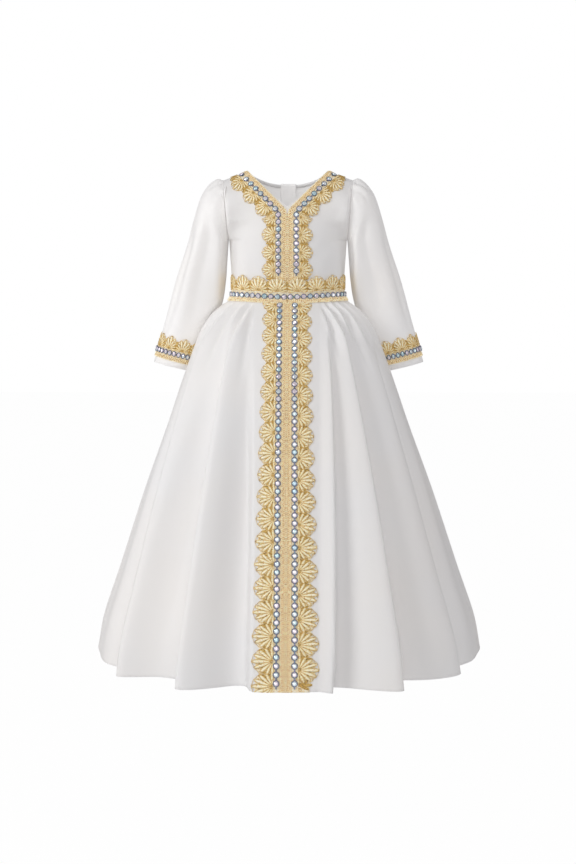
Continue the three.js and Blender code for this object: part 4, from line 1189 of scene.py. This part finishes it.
def middle_line(length):
    """The row of knots that covers the join of the two braids down the centre."""
    count = int(length / 2.7)
    return (*placed(repeated(dots_unit(), count, length / count, 0.0, 0.12, 91), 0.8, -0.1,
                    CORD_LIFT + 0.2), 0)


lace = {}
SKIRT_FAN_GROWTH = 0.0162
for word, side, first_fan, pitch, fans in (("left", 1, 8.0, 32.4, 18), ("right", -1, 4.0, 31.9, 19)):
    parts = galloon_parts(SKIRT_TRIM_LENGTH, first_fan, pitch, fans, (18.6, 23.2), SKIRT_FAN_GROWTH,
                          seed=11 + side)
    if side > 0:
        parts.append(middle_line(SKIRT_TRIM_LENGTH))
    lace["skirt", word] = sewn_on(f"lace_skirt_front_{word}", parts, lay_down_skirt(side),
                                  LACE_FINISHES, side < 0)
    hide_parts(f"lace_skirt_{word}")

# ---- round the waist: braid below, stones, then fans standing up on the bodice
def waist_at(angle, z):
    """The waist trim's ground: the skirt below the seam, the bodice above."""
    angle, z = np.broadcast_arrays(np.asarray(angle, float), np.asarray(z, float))
    turn = (angle + 180) % 360 - 180
    front = np.abs(turn) < 90
    across = np.where(front, turn / 90, np.sign(turn) * (180 - np.abs(turn)) / 90)
    upper = np.where(front[..., None], torso(across, np.maximum(z, WAIST), -1),
                     torso(across, np.maximum(z, WAIST), 1))
    lower = skirt_at(turn, np.minimum(z, WAIST))
    return np.where((z < WAIST)[..., None], lower, upper)


WAIST_BOTTOM = -234.5
WAIST_RUN_HEIGHT = -216.0  # the length of the trim is taken along this line
WAIST_END_ANGLE = 178.9  # just short of the zip
WAIST_SAMPLES = 721
waist_angles = np.linspace(0.0, WAIST_END_ANGLE, WAIST_SAMPLES)
waist_line = waist_at(waist_angles, np.full(WAIST_SAMPLES, WAIST_RUN_HEIGHT))
waist_run = run_along(waist_line)
WAIST_TRIM_LENGTH = float(waist_run[-1])


def lay_round_waist(side):
    def lay(along, across, lift):
        angle = np.interp(along, waist_run, waist_angles)
        z = WAIST_BOTTOM + across
        over_seam = 0.9 * np.exp(-(((z - WAIST) / 7) ** 2))
        # in front it lies on the end of the bodice trim
        over_trim = 2.3 * (1 - eased(36, 52, angle)) * eased(-213, -207, z)
        return on_surface(waist_at, side * angle, z, lift + 0.5 + over_seam + over_trim, 1.0, 0.05, 0.3)
    return lay


WAIST_FANS = 8
for word, side in SIDES:
    pitch = WAIST_TRIM_LENGTH / WAIST_FANS
    parts = galloon_parts(WAIST_TRIM_LENGTH, pitch * 0.5, pitch, WAIST_FANS,
                          (pitch * 0.54, 25.5), seed=31 + side, fan_base=20.5, braid=(0.6, 6.4))
    lace["waist", word] = sewn_on(f"lace_round_waist_{word}", parts, lay_round_waist(side),
                                  LACE_FINISHES, side < 0)
    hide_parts(f"lace_waist_{word}")

# ---- on the bodice: down the V from the shoulder seam, round the corner, and to the waist
V_POINT = np.array([0.0, -73.0])
v_length = math.hypot(NECK_HALF, V_POINT[1])
V_ALONG = np.array([NECK_HALF, -V_POINT[1]]) / v_length
V_OUT = np.array([V_ALONG[1], -V_ALONG[0]])
CHAIN_ACROSS, CENTRE_INSET = 12.5, 2.7
v_base = V_POINT + V_OUT * CHAIN_ACROSS
corner_x = CHAIN_ACROSS + CENTRE_INSET
corner = v_base + V_ALONG * (corner_x - v_base[0]) / V_ALONG[0]
v_reach = ((shoulder_line(0.0) - v_base[1] - SHOULDER_SLOPE * v_base[0])
           / (V_ALONG[1] + SHOULDER_SLOPE * V_ALONG[0])) - 0.8
v_top = v_base + V_ALONG * v_reach
V_RUN = float(np.linalg.norm(v_top - corner))
BODICE_CHAIN_LENGTH = V_RUN + float(corner[1] + 190.0)
BODICE_TRIM_LENGTH = BODICE_CHAIN_LENGTH + 11.0
BEND_HALF = 17.0


def bodice_trim_place(along, across):
    """Where on the front, seen flat: the trim's outward way swings round at the corner."""
    bend = eased(V_RUN - BEND_HALF, V_RUN + BEND_HALF, along)
    turn = math.atan2(V_OUT[1], V_OUT[0]) * (1 - bend)
    before = v_top[None, :] - V_ALONG[None, :] * along[:, None]
    after = np.stack([np.full(len(along), corner[0]), corner[1] - (along - V_RUN)], -1)
    line = np.where((along < V_RUN)[:, None], before, after)
    out = np.stack([np.cos(turn), np.sin(turn)], -1)
    flat = line + out * (across - CHAIN_ACROSS)[:, None]
    # below the V the braid is eased out to meet its twin on the centre line
    flat[:, 0] -= 2.6 * (1 - np.clip(across / 8.0, 0, 1)) * bend
    flat[:, 0] = np.maximum(flat[:, 0], 0.05)
    over = shoulder_line(flat[:, 0]) - 0.6 - flat[:, 1]
    flat[:, 1] += np.minimum(over, 0)
    return flat


def front_at(x, z):
    half = read(TORSO_RINGS, 1, np.minimum(z, SHOULDER_TIP[1]))
    return torso(2 / np.pi * np.arcsin(np.clip(x / half, -1, 1)), z, -1)


def lay_on_bodice(side):
    def lay(along, across, lift):
        flat = bodice_trim_place(along, across)
        x, z = side * flat[:, 0], flat[:, 1]
        # read clear of the shoulder seam, where the cloth turns over at once
        return on_surface(front_at, x, z, lift + 0.25, 1.0, 0.15, 0.15)
    return lay


BODICE_FANS, BODICE_FAN_PITCH, BODICE_FIRST_FAN = 7, 31.0, 13.0
for word, side in SIDES:
    parts = galloon_parts(BODICE_TRIM_LENGTH, BODICE_FIRST_FAN, BODICE_FAN_PITCH, BODICE_FANS,
                          (15.6, 22.0), seed=51 + side)
    lace["bodice", word] = sewn_on(f"lace_neck_to_waist_{word}", parts, lay_on_bodice(side),
                                   LACE_FINISHES, side < 0)
    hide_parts(f"lace_bodice_{word}")

def lay_knots(along, across, lift):
    return on_surface(front_at, across, V_POINT[1] - 4.0 - along, lift + 0.35, 1.0, 0.15, 0.15)


# the knots between the two braids run on up the bodice to the point of the V
KNOT_COUNT, KNOT_PITCH = 46, 2.66
knots = placed(repeated(dots_unit(), KNOT_COUNT, KNOT_PITCH, 0.0, 0.12, 93), 0.8, 0.0, CORD_LIFT + 0.1)
bodice_knots = sewn_on("lace_knots_bodice", [(*knots, 0)], lay_knots, (gold_cord,))

# ---- round the cuffs: braid at the bottom, stones, then fans standing up the sleeve
CUFF_BOTTOM, CUFF_FANS = 10.5, 10
CUFF_RUN_UP = 27.0  # the length of the trim is taken round this ring, up from the edge
cuff_turns = np.linspace(0, 1, 721)
cuff_lays, cuff_lengths = {}, {}
for word, side in SIDES:
    surface = sleeves[word][2]
    ring = surface(cuff_turns, np.full(len(cuff_turns), cuff_ring(CUFF_RUN_UP)))
    run = run_along(ring)

    def lay_round_cuff(along, across, lift, surface=surface, run=run, side=side):
        turn = np.interp(along % run[-1], run, cuff_turns)
        up = CUFF_BOTTOM + across
        return on_surface(surface, turn, cuff_ring(up), lift + 0.2, side, 1e-3, 4e-3)

    cuff_lays[word], cuff_lengths[word] = lay_round_cuff, float(run[-1])
    pitch = run[-1] / CUFF_FANS
    first_fan = pitch * (0.18 if side > 0 else 0.72)
    parts = galloon_parts(run[-1] - 0.8, first_fan, pitch, CUFF_FANS, (pitch * 0.55, 23.5),
                          seed=71 + side, fan_base=20.0, braid=(0.4, 7.4))
    lace["cuff", word] = sewn_on(f"lace_round_cuff_{word}", parts, lay_round_cuff,
                                 LACE_FINISHES, side > 0)
    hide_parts(f"lace_cuff_{word}")

# ---------------------------------------------------------------------------- rhinestone chain
# Cup chain sewn over the bare strip of the galloon: foil-backed glass stones with a rainbow
# coat, each pressed into a dark plated cup, with a link from every cup to the next.
def stone_finish():
    """Cut glass with an aurora coat: each stone its own faint tint, and brighter facets."""
    material, wire = finish_named("rhinestone_glass")
    tint = wire.node("ShaderNodeAttribute", {"attribute_name": "tint"}, give="Fac")
    body = wire.node("ShaderNodeTexCoord", give="Object")
    veil = noise_over(wire, "3D", body, 420.0, 1.0, 0.5)
    coat = (veil * 0.55 + tint * 0.75 - 0.15).clipped()
    hue = wire.node("ShaderNodeValToRGB", {"stops": (
        (0.0, (0.42, 0.70, 0.82)), (0.16, (0.78, 0.89, 0.94)), (0.36, (0.95, 0.95, 0.97)),
        (0.55, (0.90, 0.76, 0.86)), (0.68, (0.94, 0.94, 0.97)), (0.84, (0.52, 0.80, 0.82)),
        (1.0, (0.48, 0.44, 0.82)))}, {"Fac": coat}, give="Color")
    close_finish(wire, {"Base Color": hue, "Metallic": 0.35, "Roughness": veil * 0.10 + 0.06,
                        "Specular IOR Level": 0.8, "Coat Weight": 0.7, "Coat Roughness": 0.03})
    return material


def cup_finish():
    """Dark plated brass with a blue and violet bloom, rubbed brighter in fine specks all over."""
    material, wire = finish_named("dark_plate")
    body = wire.node("ShaderNodeTexCoord", give="Object")
    bloom = noise_over(wire, "3D", body, 160.0, 2.0, 0.5)
    rub = noise_over(wire, "3D", body, 1500.0, 2.0, 0.6)
    hue = wire.node("ShaderNodeValToRGB", {"stops": (
        (0.30, (0.10, 0.17, 0.22)), (0.45, (0.16, 0.21, 0.30)), (0.55, (0.22, 0.20, 0.32)),
        (0.70, (0.12, 0.25, 0.29)))}, {"Fac": bloom}, give="Color")
    colour = (rub.step(0.5, 0.75) * 0.5).colour(hue, (0.50, 0.53, 0.60, 1.0))
    close_finish(wire, {"Base Color": colour, "Metallic": 0.75, "Roughness": rub * 0.25 + 0.18})
    return material


stone_glass, cup_plate = stone_finish(), cup_finish()
STONE_RADIUS, CUP_RADIUS = 3.75, 5.1


def ring_of(count, radius, height, turn=0.0):
    a = (np.arange(count) + turn) * 2 * np.pi / count
    return [(radius * math.cos(x), radius * math.sin(x), height) for x in a]


def unit_mesh(name, points, faces):
    """A mesh from points in millimetres."""
    mesh = bpy.data.meshes.new(name)
    mesh.from_pydata([tuple(c * 0.001 for c in p) for p in points], [], faces)
    return mesh


def stone_mesh():
    """A round brilliant, flat side up: table, crown and girdle."""
    points = (ring_of(8, 2.1, 2.5) + ring_of(8, 3.15, 1.95, 0.5) + ring_of(16, STONE_RADIUS, 1.25)
              + ring_of(16, STONE_RADIUS, 0.4))
    table, middle, girdle, low = 0, 8, 16, 32
    faces = [tuple(range(8))]
    for k in range(8):
        n = (k + 1) % 8
        faces.append((table + k, middle + k, table + n))
        g0, g1, g2 = girdle + 2 * k, girdle + 2 * k + 1, girdle + (2 * k + 2) % 16
        faces.append((table + k, middle + (k - 1) % 8, g0, middle + k))
        faces += [(middle + k, g0, g1), (middle + k, g1, g2)]
    for k in range(16):
        n = (k + 1) % 16
        faces.append((low + k, low + n, girdle + n, girdle + k))
    faces.append(tuple(low + k for k in reversed(range(16))))
    return unit_mesh("stone_unit", points, faces)


def cup_mesh():
    """The cup and the link that leads along the chain."""
    count = 14
    profile = ((CUP_RADIUS - 0.3, -0.15), (CUP_RADIUS, 0.6), (CUP_RADIUS - 0.35, 1.35),
               (CUP_RADIUS - 0.9, 1.65), (STONE_RADIUS - 0.15, 1.3), (STONE_RADIUS - 0.2, 0.3))
    points = [point for radius, height in profile for point in ring_of(count, radius, height)]
    faces = grid_faces(len(profile), count, True).tolist()
    faces.append(tuple(reversed(range(count))))
    faces.append(tuple((len(profile) - 1) * count + k for k in range(count)))
    base = len(points)
    points += [(x, y, z) for z in (0.1, 0.9) for x, y in ((3.9, -1.1), (8.2, -1.1), (8.2, 1.1), (3.9, 1.1))]
    faces += [tuple(base + i for i in f) for f in
              ((3, 2, 1, 0), (4, 5, 6, 7), (0, 1, 5, 4), (1, 2, 6, 5), (2, 3, 7, 6), (3, 0, 4, 7))]
    return unit_mesh("cup_unit", points, faces)


def setting_tree():
    """Sets one stone or cup on every seat, square to the cloth and turned along the chain."""
    tree = bpy.data.node_groups.new("chain_setting", "GeometryNodeTree")
    for name, kind in (("Seats", "NodeSocketGeometry"), ("Unit", "NodeSocketObject"),
                       ("Finish", "NodeSocketMaterial"), ("Seed", "NodeSocketInt")):
        tree.interface.new_socket(name, in_out="INPUT", socket_type=kind)
    tree.interface.new_socket("Chain", in_out="OUTPUT", socket_type="NodeSocketGeometry")
    wire = Wire(tree)
    given = wire.node("NodeGroupInput", give="Seats")
    unit = wire.node("GeometryNodeObjectInfo", {"transform_space": "ORIGINAL"},
                     {"Object": given.also("Unit")}, give="Geometry")
    ways = [wire.node("GeometryNodeInputNamedAttribute", {"data_type": "FLOAT_VECTOR"},
                      {"Name": name}, give="Attribute") for name in ("square", "ahead", "size")]
    turned = wire.node("FunctionNodeAxesToRotation", {"primary_axis": "Z", "secondary_axis": "X"},
                       {0: ways[0], 1: ways[1]})
    set_out = wire.node("GeometryNodeInstanceOnPoints", {},
                        {"Points": given, "Instance": unit, "Rotation": turned, "Scale": ways[2]})
    lot = wire.node("FunctionNodeRandomValue", {"data_type": "FLOAT"},
                    {2: 0.0, 3: 1.0, "Seed": given.also("Seed")}, give=1)
    told = wire.node("GeometryNodeStoreNamedAttribute", {"data_type": "FLOAT", "domain": "INSTANCE"},
                     {"Geometry": set_out, "Name": "tint", "Value": lot})
    whole = wire.node("GeometryNodeRealizeInstances", {}, {"Geometry": told})
    dyed = wire.node("GeometryNodeSetMaterial", {}, {"Geometry": whole, "Material": given.also("Finish")})
    wire.node("NodeGroupOutput", {}, {0: dyed})
    return tree


chain_setting = setting_tree()
unit_holders = {}
for word, mesh in (("stone", stone_mesh()), ("cup", cup_mesh())):
    unit_holders[word] = bpy.data.objects.new(f"{word}_unit", mesh)
    studio.collection.objects.link(unit_holders[word])

CHAIN_LIFT = 1.85


def chain_on(name, lay, along, across, size, node, seed):
    """Stones and cups set at these places of a flat trim; size scales along and across."""
    along, across = np.asarray(along, float), np.broadcast_to(np.asarray(across, float), len(along))
    size = np.broadcast_to(np.asarray(size, float), (len(along), 3))
    seat = lay(along, across, np.full(len(along), CHAIN_LIFT))
    square = lay(along, across, np.full(len(along), CHAIN_LIFT + 1.0)) - seat
    ahead = lay(along + 0.8, across, np.full(len(along), CHAIN_LIFT)) - lay(
        along - 0.8, across, np.full(len(along), CHAIN_LIFT))
    square, ahead = direction_of(square), direction_of(ahead)
    made = {}
    for word, finish in (("stone", stone_glass), ("cup", cup_plate)):
        mesh = bpy.data.meshes.new("seats")
        mesh.from_pydata((seat * 0.001).tolist(), [], [])
        for title, values in (("square", square), ("ahead", ahead), ("size", size)):
            held = mesh.attributes.new(title, "FLOAT_VECTOR", "POINT")
            held.data.foreach_set("vector", np.ascontiguousarray(values, np.float32).ravel())
        plain = grown_by(chain_setting, mesh, {"Unit": unit_holders[word], "Finish": finish, "Seed": seed})
        plain.name = f"{word}s_{name}"
        if word == "cup":
            plain.shade_smooth()
            plain.set_sharp_from_angle(angle=math.radians(40))
        piece = bpy.data.objects.new(f"{word}s_{name}", plain)
        studio.collection.objects.link(piece)
        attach(piece, "dress")
        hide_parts(node)
        made[word] = piece
    return made


# how far apart the stones are, and how far across the trim they sit
SKIRT_STONE_PITCH, SKIRT_STONE_SPREAD, SKIRT_STONE_GROWTH, SKIRT_CHAIN_ACROSS = 12.3, 1.9, 0.10, 12.9
BODICE_STONE_PITCH = 12.2
WAIST_STONE_PITCH, WAIST_CHAIN_ACROSS = 11.3, 12.3
CUFF_STONE_PITCH, CUFF_CHAIN_ACROSS, CUFF_STONE_SQUEEZE = 8.0, 14.0, 0.74
chains = {}
for number, (word, side) in enumerate(SIDES):
    # down the skirt the stones open out a little towards the hem
    steps, at = [], 5.5
    while at < SKIRT_TRIM_LENGTH - 4:
        steps.append(at)
        at += SKIRT_STONE_PITCH + SKIRT_STONE_SPREAD * at / SKIRT_TRIM_LENGTH
    steps = np.array(steps)
    grow = 1.0 + SKIRT_STONE_GROWTH * steps / SKIRT_TRIM_LENGTH
    size = np.stack([grow, grow, np.ones_like(grow)], -1)
    chains["skirt", word] = chain_on(f"down_skirt_{word}", lay_down_skirt(side), steps, SKIRT_CHAIN_ACROSS,
                                     size, f"chain_skirt_{word}", 101 + number)
    steps = np.arange(5.0, BODICE_CHAIN_LENGTH - 6.5, BODICE_STONE_PITCH)
    chains["bodice", word] = chain_on(f"neck_to_waist_{word}", lay_on_bodice(side), steps, CHAIN_ACROSS,
                                      (1, 1, 1), f"chain_bodice_{word}", 111 + number)
    steps = np.arange(5.2, WAIST_TRIM_LENGTH - 3.0, WAIST_STONE_PITCH)
    chains["waist", word] = chain_on(f"round_waist_{word}", lay_round_waist(side), steps,
                                     WAIST_CHAIN_ACROSS, (1, 1, 1), f"chain_waist_{word}",
                                     121 + number)
    count = round(cuff_lengths[word] / CUFF_STONE_PITCH)
    steps = np.arange(count) * cuff_lengths[word] / count
    chains["cuff", word] = chain_on(f"round_cuff_{word}", cuff_lays[word], steps, CUFF_CHAIN_ACROSS,
                                    (CUFF_STONE_SQUEEZE, 1.0, 1), f"chain_cuff_{word}",
                                    131 + number)
for holder in unit_holders.values():
    mesh = holder.data
    bpy.data.objects.remove(holder)
    bpy.data.meshes.remove(mesh)

# ---------------------------------------------------------------------------- back fastening
# A concealed zip down the centre back: two woven tapes and a nylon coil inside the seam, with a
# satin guard behind them that stands up a little at the neck.  From behind only the painted
# slider and its pull show.
ZIP_TOP, ZIP_END, GUARD_TOP = -24.0, -330.0, -16.0
TAPE_LIFT, COIL_LIFT, GUARD_LIFT = -1.75, -1.6, -2.8


def back_at(x, z):
    """The outer face of the cloth down the centre back, at a distance across."""
    x, z = np.broadcast_arrays(np.asarray(x, float), np.asarray(z, float))
    upper = torso(2 / np.pi * np.arcsin(np.clip(x / read(TORSO_RINGS, 1, z), -1, 1)), z, 1)
    lower = skirt_at(180 - np.degrees(np.arcsin(np.abs(x) / read(SKIRT_RINGS, 1, z))), z)
    lower[..., 0] *= np.where(x < 0, -1.0, 1.0)
    return np.where((z < WAIST)[..., None], lower, upper)


def strip_down_back(xs, top, lift):
    """A grid of points inside the back, from the end of the zip up to a height."""
    z = np.linspace(ZIP_END, top, 90)
    grid_x, grid_z = np.meshgrid(np.asarray(xs, float), z)
    lifts = np.full(grid_x.size, lift)
    points = on_surface(back_at, grid_x.ravel(), grid_z.ravel(), lifts, -1.0, 0.2, 0.3)
    return points.reshape(*grid_x.shape, 3)


def tape_finish():
    """Woven polyester zip tape: a fine herringbone, matt and a little cooler than the satin."""
    material, wire = finish_named("zip_tape")
    lay = wire.node("ShaderNodeTexCoord", give="UV")
    slant = wire.node("ShaderNodeMapping", {}, {"Vector": lay, "Rotation": (0.0, 0.0, 0.8)})
    twill = wire.node("ShaderNodeTexWave", {"wave_type": "BANDS", "bands_direction": "X"},
                      {"Vector": slant, "Scale": 520.0, "Distortion": 0.6, "Detail": 1.0}, give="Fac")
    fuzz = noise_over(wire, "2D", lay, 700.0, 2.0, 0.6)
    bump = wire.node("ShaderNodeBump", {}, {"Height": twill * 0.7 + fuzz * 0.3, "Strength": 0.5,
                                            "Distance": 0.0002})
    close_finish(wire, {"Base Color": (twill * 0.4 + fuzz * 0.3).colour((0.86, 0.85, 0.84, 1.0),
                                                                        (0.93, 0.925, 0.92, 1.0)),
                        "Roughness": 0.78 - twill * 0.10, "Normal": bump, "Sheen Weight": 0.15})
    return material


def enamel_finish():
    """White baked enamel on a die-cast slider: orange-peel gloss, with grey metal at the rubs."""
    material, wire = finish_named("white_enamel")
    body = wire.node("ShaderNodeTexCoord", give="Object")
    peel = noise_over(wire, "3D", body, 900.0, 2.0, 0.5)
    rubbed = noise_over(wire, "3D", body, 260.0, 4.0, 0.65)
    worn = rubbed.step(0.64, 0.70)
    bump = wire.node("ShaderNodeBump", {}, {"Height": peel, "Strength": 0.25, "Distance": 0.0002})
    close_finish(wire, {"Base Color": worn.colour((0.90, 0.895, 0.885, 1.0), (0.55, 0.54, 0.53, 1.0)),
                        "Metallic": worn * 0.8, "Roughness": peel * 0.12 + 0.18 + worn * 0.15,
                        "Coat Weight": 0.6 - worn * 0.6, "Coat Roughness": 0.08, "Normal": bump})
    return material


zip_tape, white_enamel = tape_finish(), enamel_finish()
GUARD_HALF, TAPE_INNER, TAPE_OUTER = 14.4, 0.55, 11.0
guard_grid = strip_down_back(np.linspace(-GUARD_HALF, GUARD_HALF, 13), GUARD_TOP, GUARD_LIFT)
zip_guard = cloth_panel("satin_zip_guard", guard_grid, white_satin, -1, glow_inside=True)
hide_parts("zip_guard")
tape_grids = {}
for word, side in SIDES:
    across = np.sort(side * np.linspace(TAPE_INNER, TAPE_OUTER, 6))
    tape_grids[word] = strip_down_back(across, ZIP_TOP, TAPE_LIFT)
    tape = cloth_panel(f"zip_tape_{word}", tape_grids[word], zip_tape, -1, thick=0.45)
    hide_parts("zip")
    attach(tape, "dress")
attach(zip_guard, "dress")


def lay_down_back(along, across, lift):
    z = ZIP_TOP - 0.5 - np.asarray(along, float)
    lift = np.asarray(lift, float) + COIL_LIFT
    return on_surface(back_at, np.asarray(across, float), z, lift, -1.0, 0.2, 0.3)


def coil_turn():
    """One turn of the nylon coil, as wide as both halves meshed."""
    t = np.linspace(0, 1, 9)[:-1] * 2 * np.pi
    path = np.column_stack([0.55 * np.sin(t) * 0.4 + 0.1, 2.2 * np.cos(t), 0.45 * np.sin(t)])
    return tube(path, 0.26, 4, True)


COIL_COUNT, COIL_PITCH = 236, 1.28
coil = (*placed(repeated(coil_turn(), COIL_COUNT, COIL_PITCH, 0.0, 0.02, 141), 0.6, 0.0, 0.35), 0)
zip_coil = sewn_on("zip_coil", [coil], lay_down_back, (zip_tape,))
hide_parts("zip")
for word in ("zip_slider", "zip_pull"):
    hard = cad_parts[word]
    hard.data.materials.clear()
    hard.data.materials.append(white_enamel)

# ---------------------------------------------------------------------------- cut of the cloth
# The cut of each piece of satin and tape, measured along the finished cloth with its folded-in edges: satin
# hardly stretches, so what hangs is taken to be as large as what was cut.
def cut_size(grid, round_off=False):
    """The widest row and the longest column of a grid, in metres, and its area."""
    g = np.concatenate([grid, grid[:, :1]], 1) if round_off else grid
    wide = np.linalg.norm(np.diff(g, axis=1), axis=-1).sum(1).max() * 0.001
    tall = np.linalg.norm(np.diff(grid, axis=0), axis=-1).sum(0).max() * 0.001
    metres = np.asarray(g, float) * 0.001
    a, b = metres[1:, 1:] - metres[:-1, :-1], metres[1:, :-1] - metres[:-1, 1:]
    area = float(np.linalg.norm(np.cross(a, b), axis=-1).sum() / 2)
    return (float(wide), float(tall)), min(area, 0.999 * float(wide * tall))


def on_panel(place, word):
    return [lace[place, word], chains[place, word]["stone"], chains[place, word]["cup"]]


def cut_of(piece, grid, with_pieces=(), round_off=False):
    flat, area = cut_size(grid, round_off)
    print(f"CUT {piece.name} {flat[0]:.3f} x {flat[1]:.3f} m, {area:.4f} m2")


cut_of(bodice_front, bodice_front_grid, on_panel("bodice", "left") + on_panel("bodice", "right")
       + [bodice_knots])
cut_of(skirt_front, skirt_front_grid, on_panel("skirt", "left") + on_panel("skirt", "right"))
for word in ("left", "right"):
    panel, grid = bodice_backs[word]
    cut_of(panel, grid, on_panel("waist", word))
    below, below_grid = skirt_backs[word]
    cut_of(below, below_grid)
    sleeve, sleeve_grid, _ = sleeves[word]
    cut_of(sleeve, sleeve_grid, on_panel("cuff", word), round_off=True)
    tape_piece = bpy.data.objects[f"zip_tape_{word}"]
    cut_of(tape_piece, tape_grids[word], [zip_coil] if word == "left" else ())
cut_of(zip_guard, guard_grid)
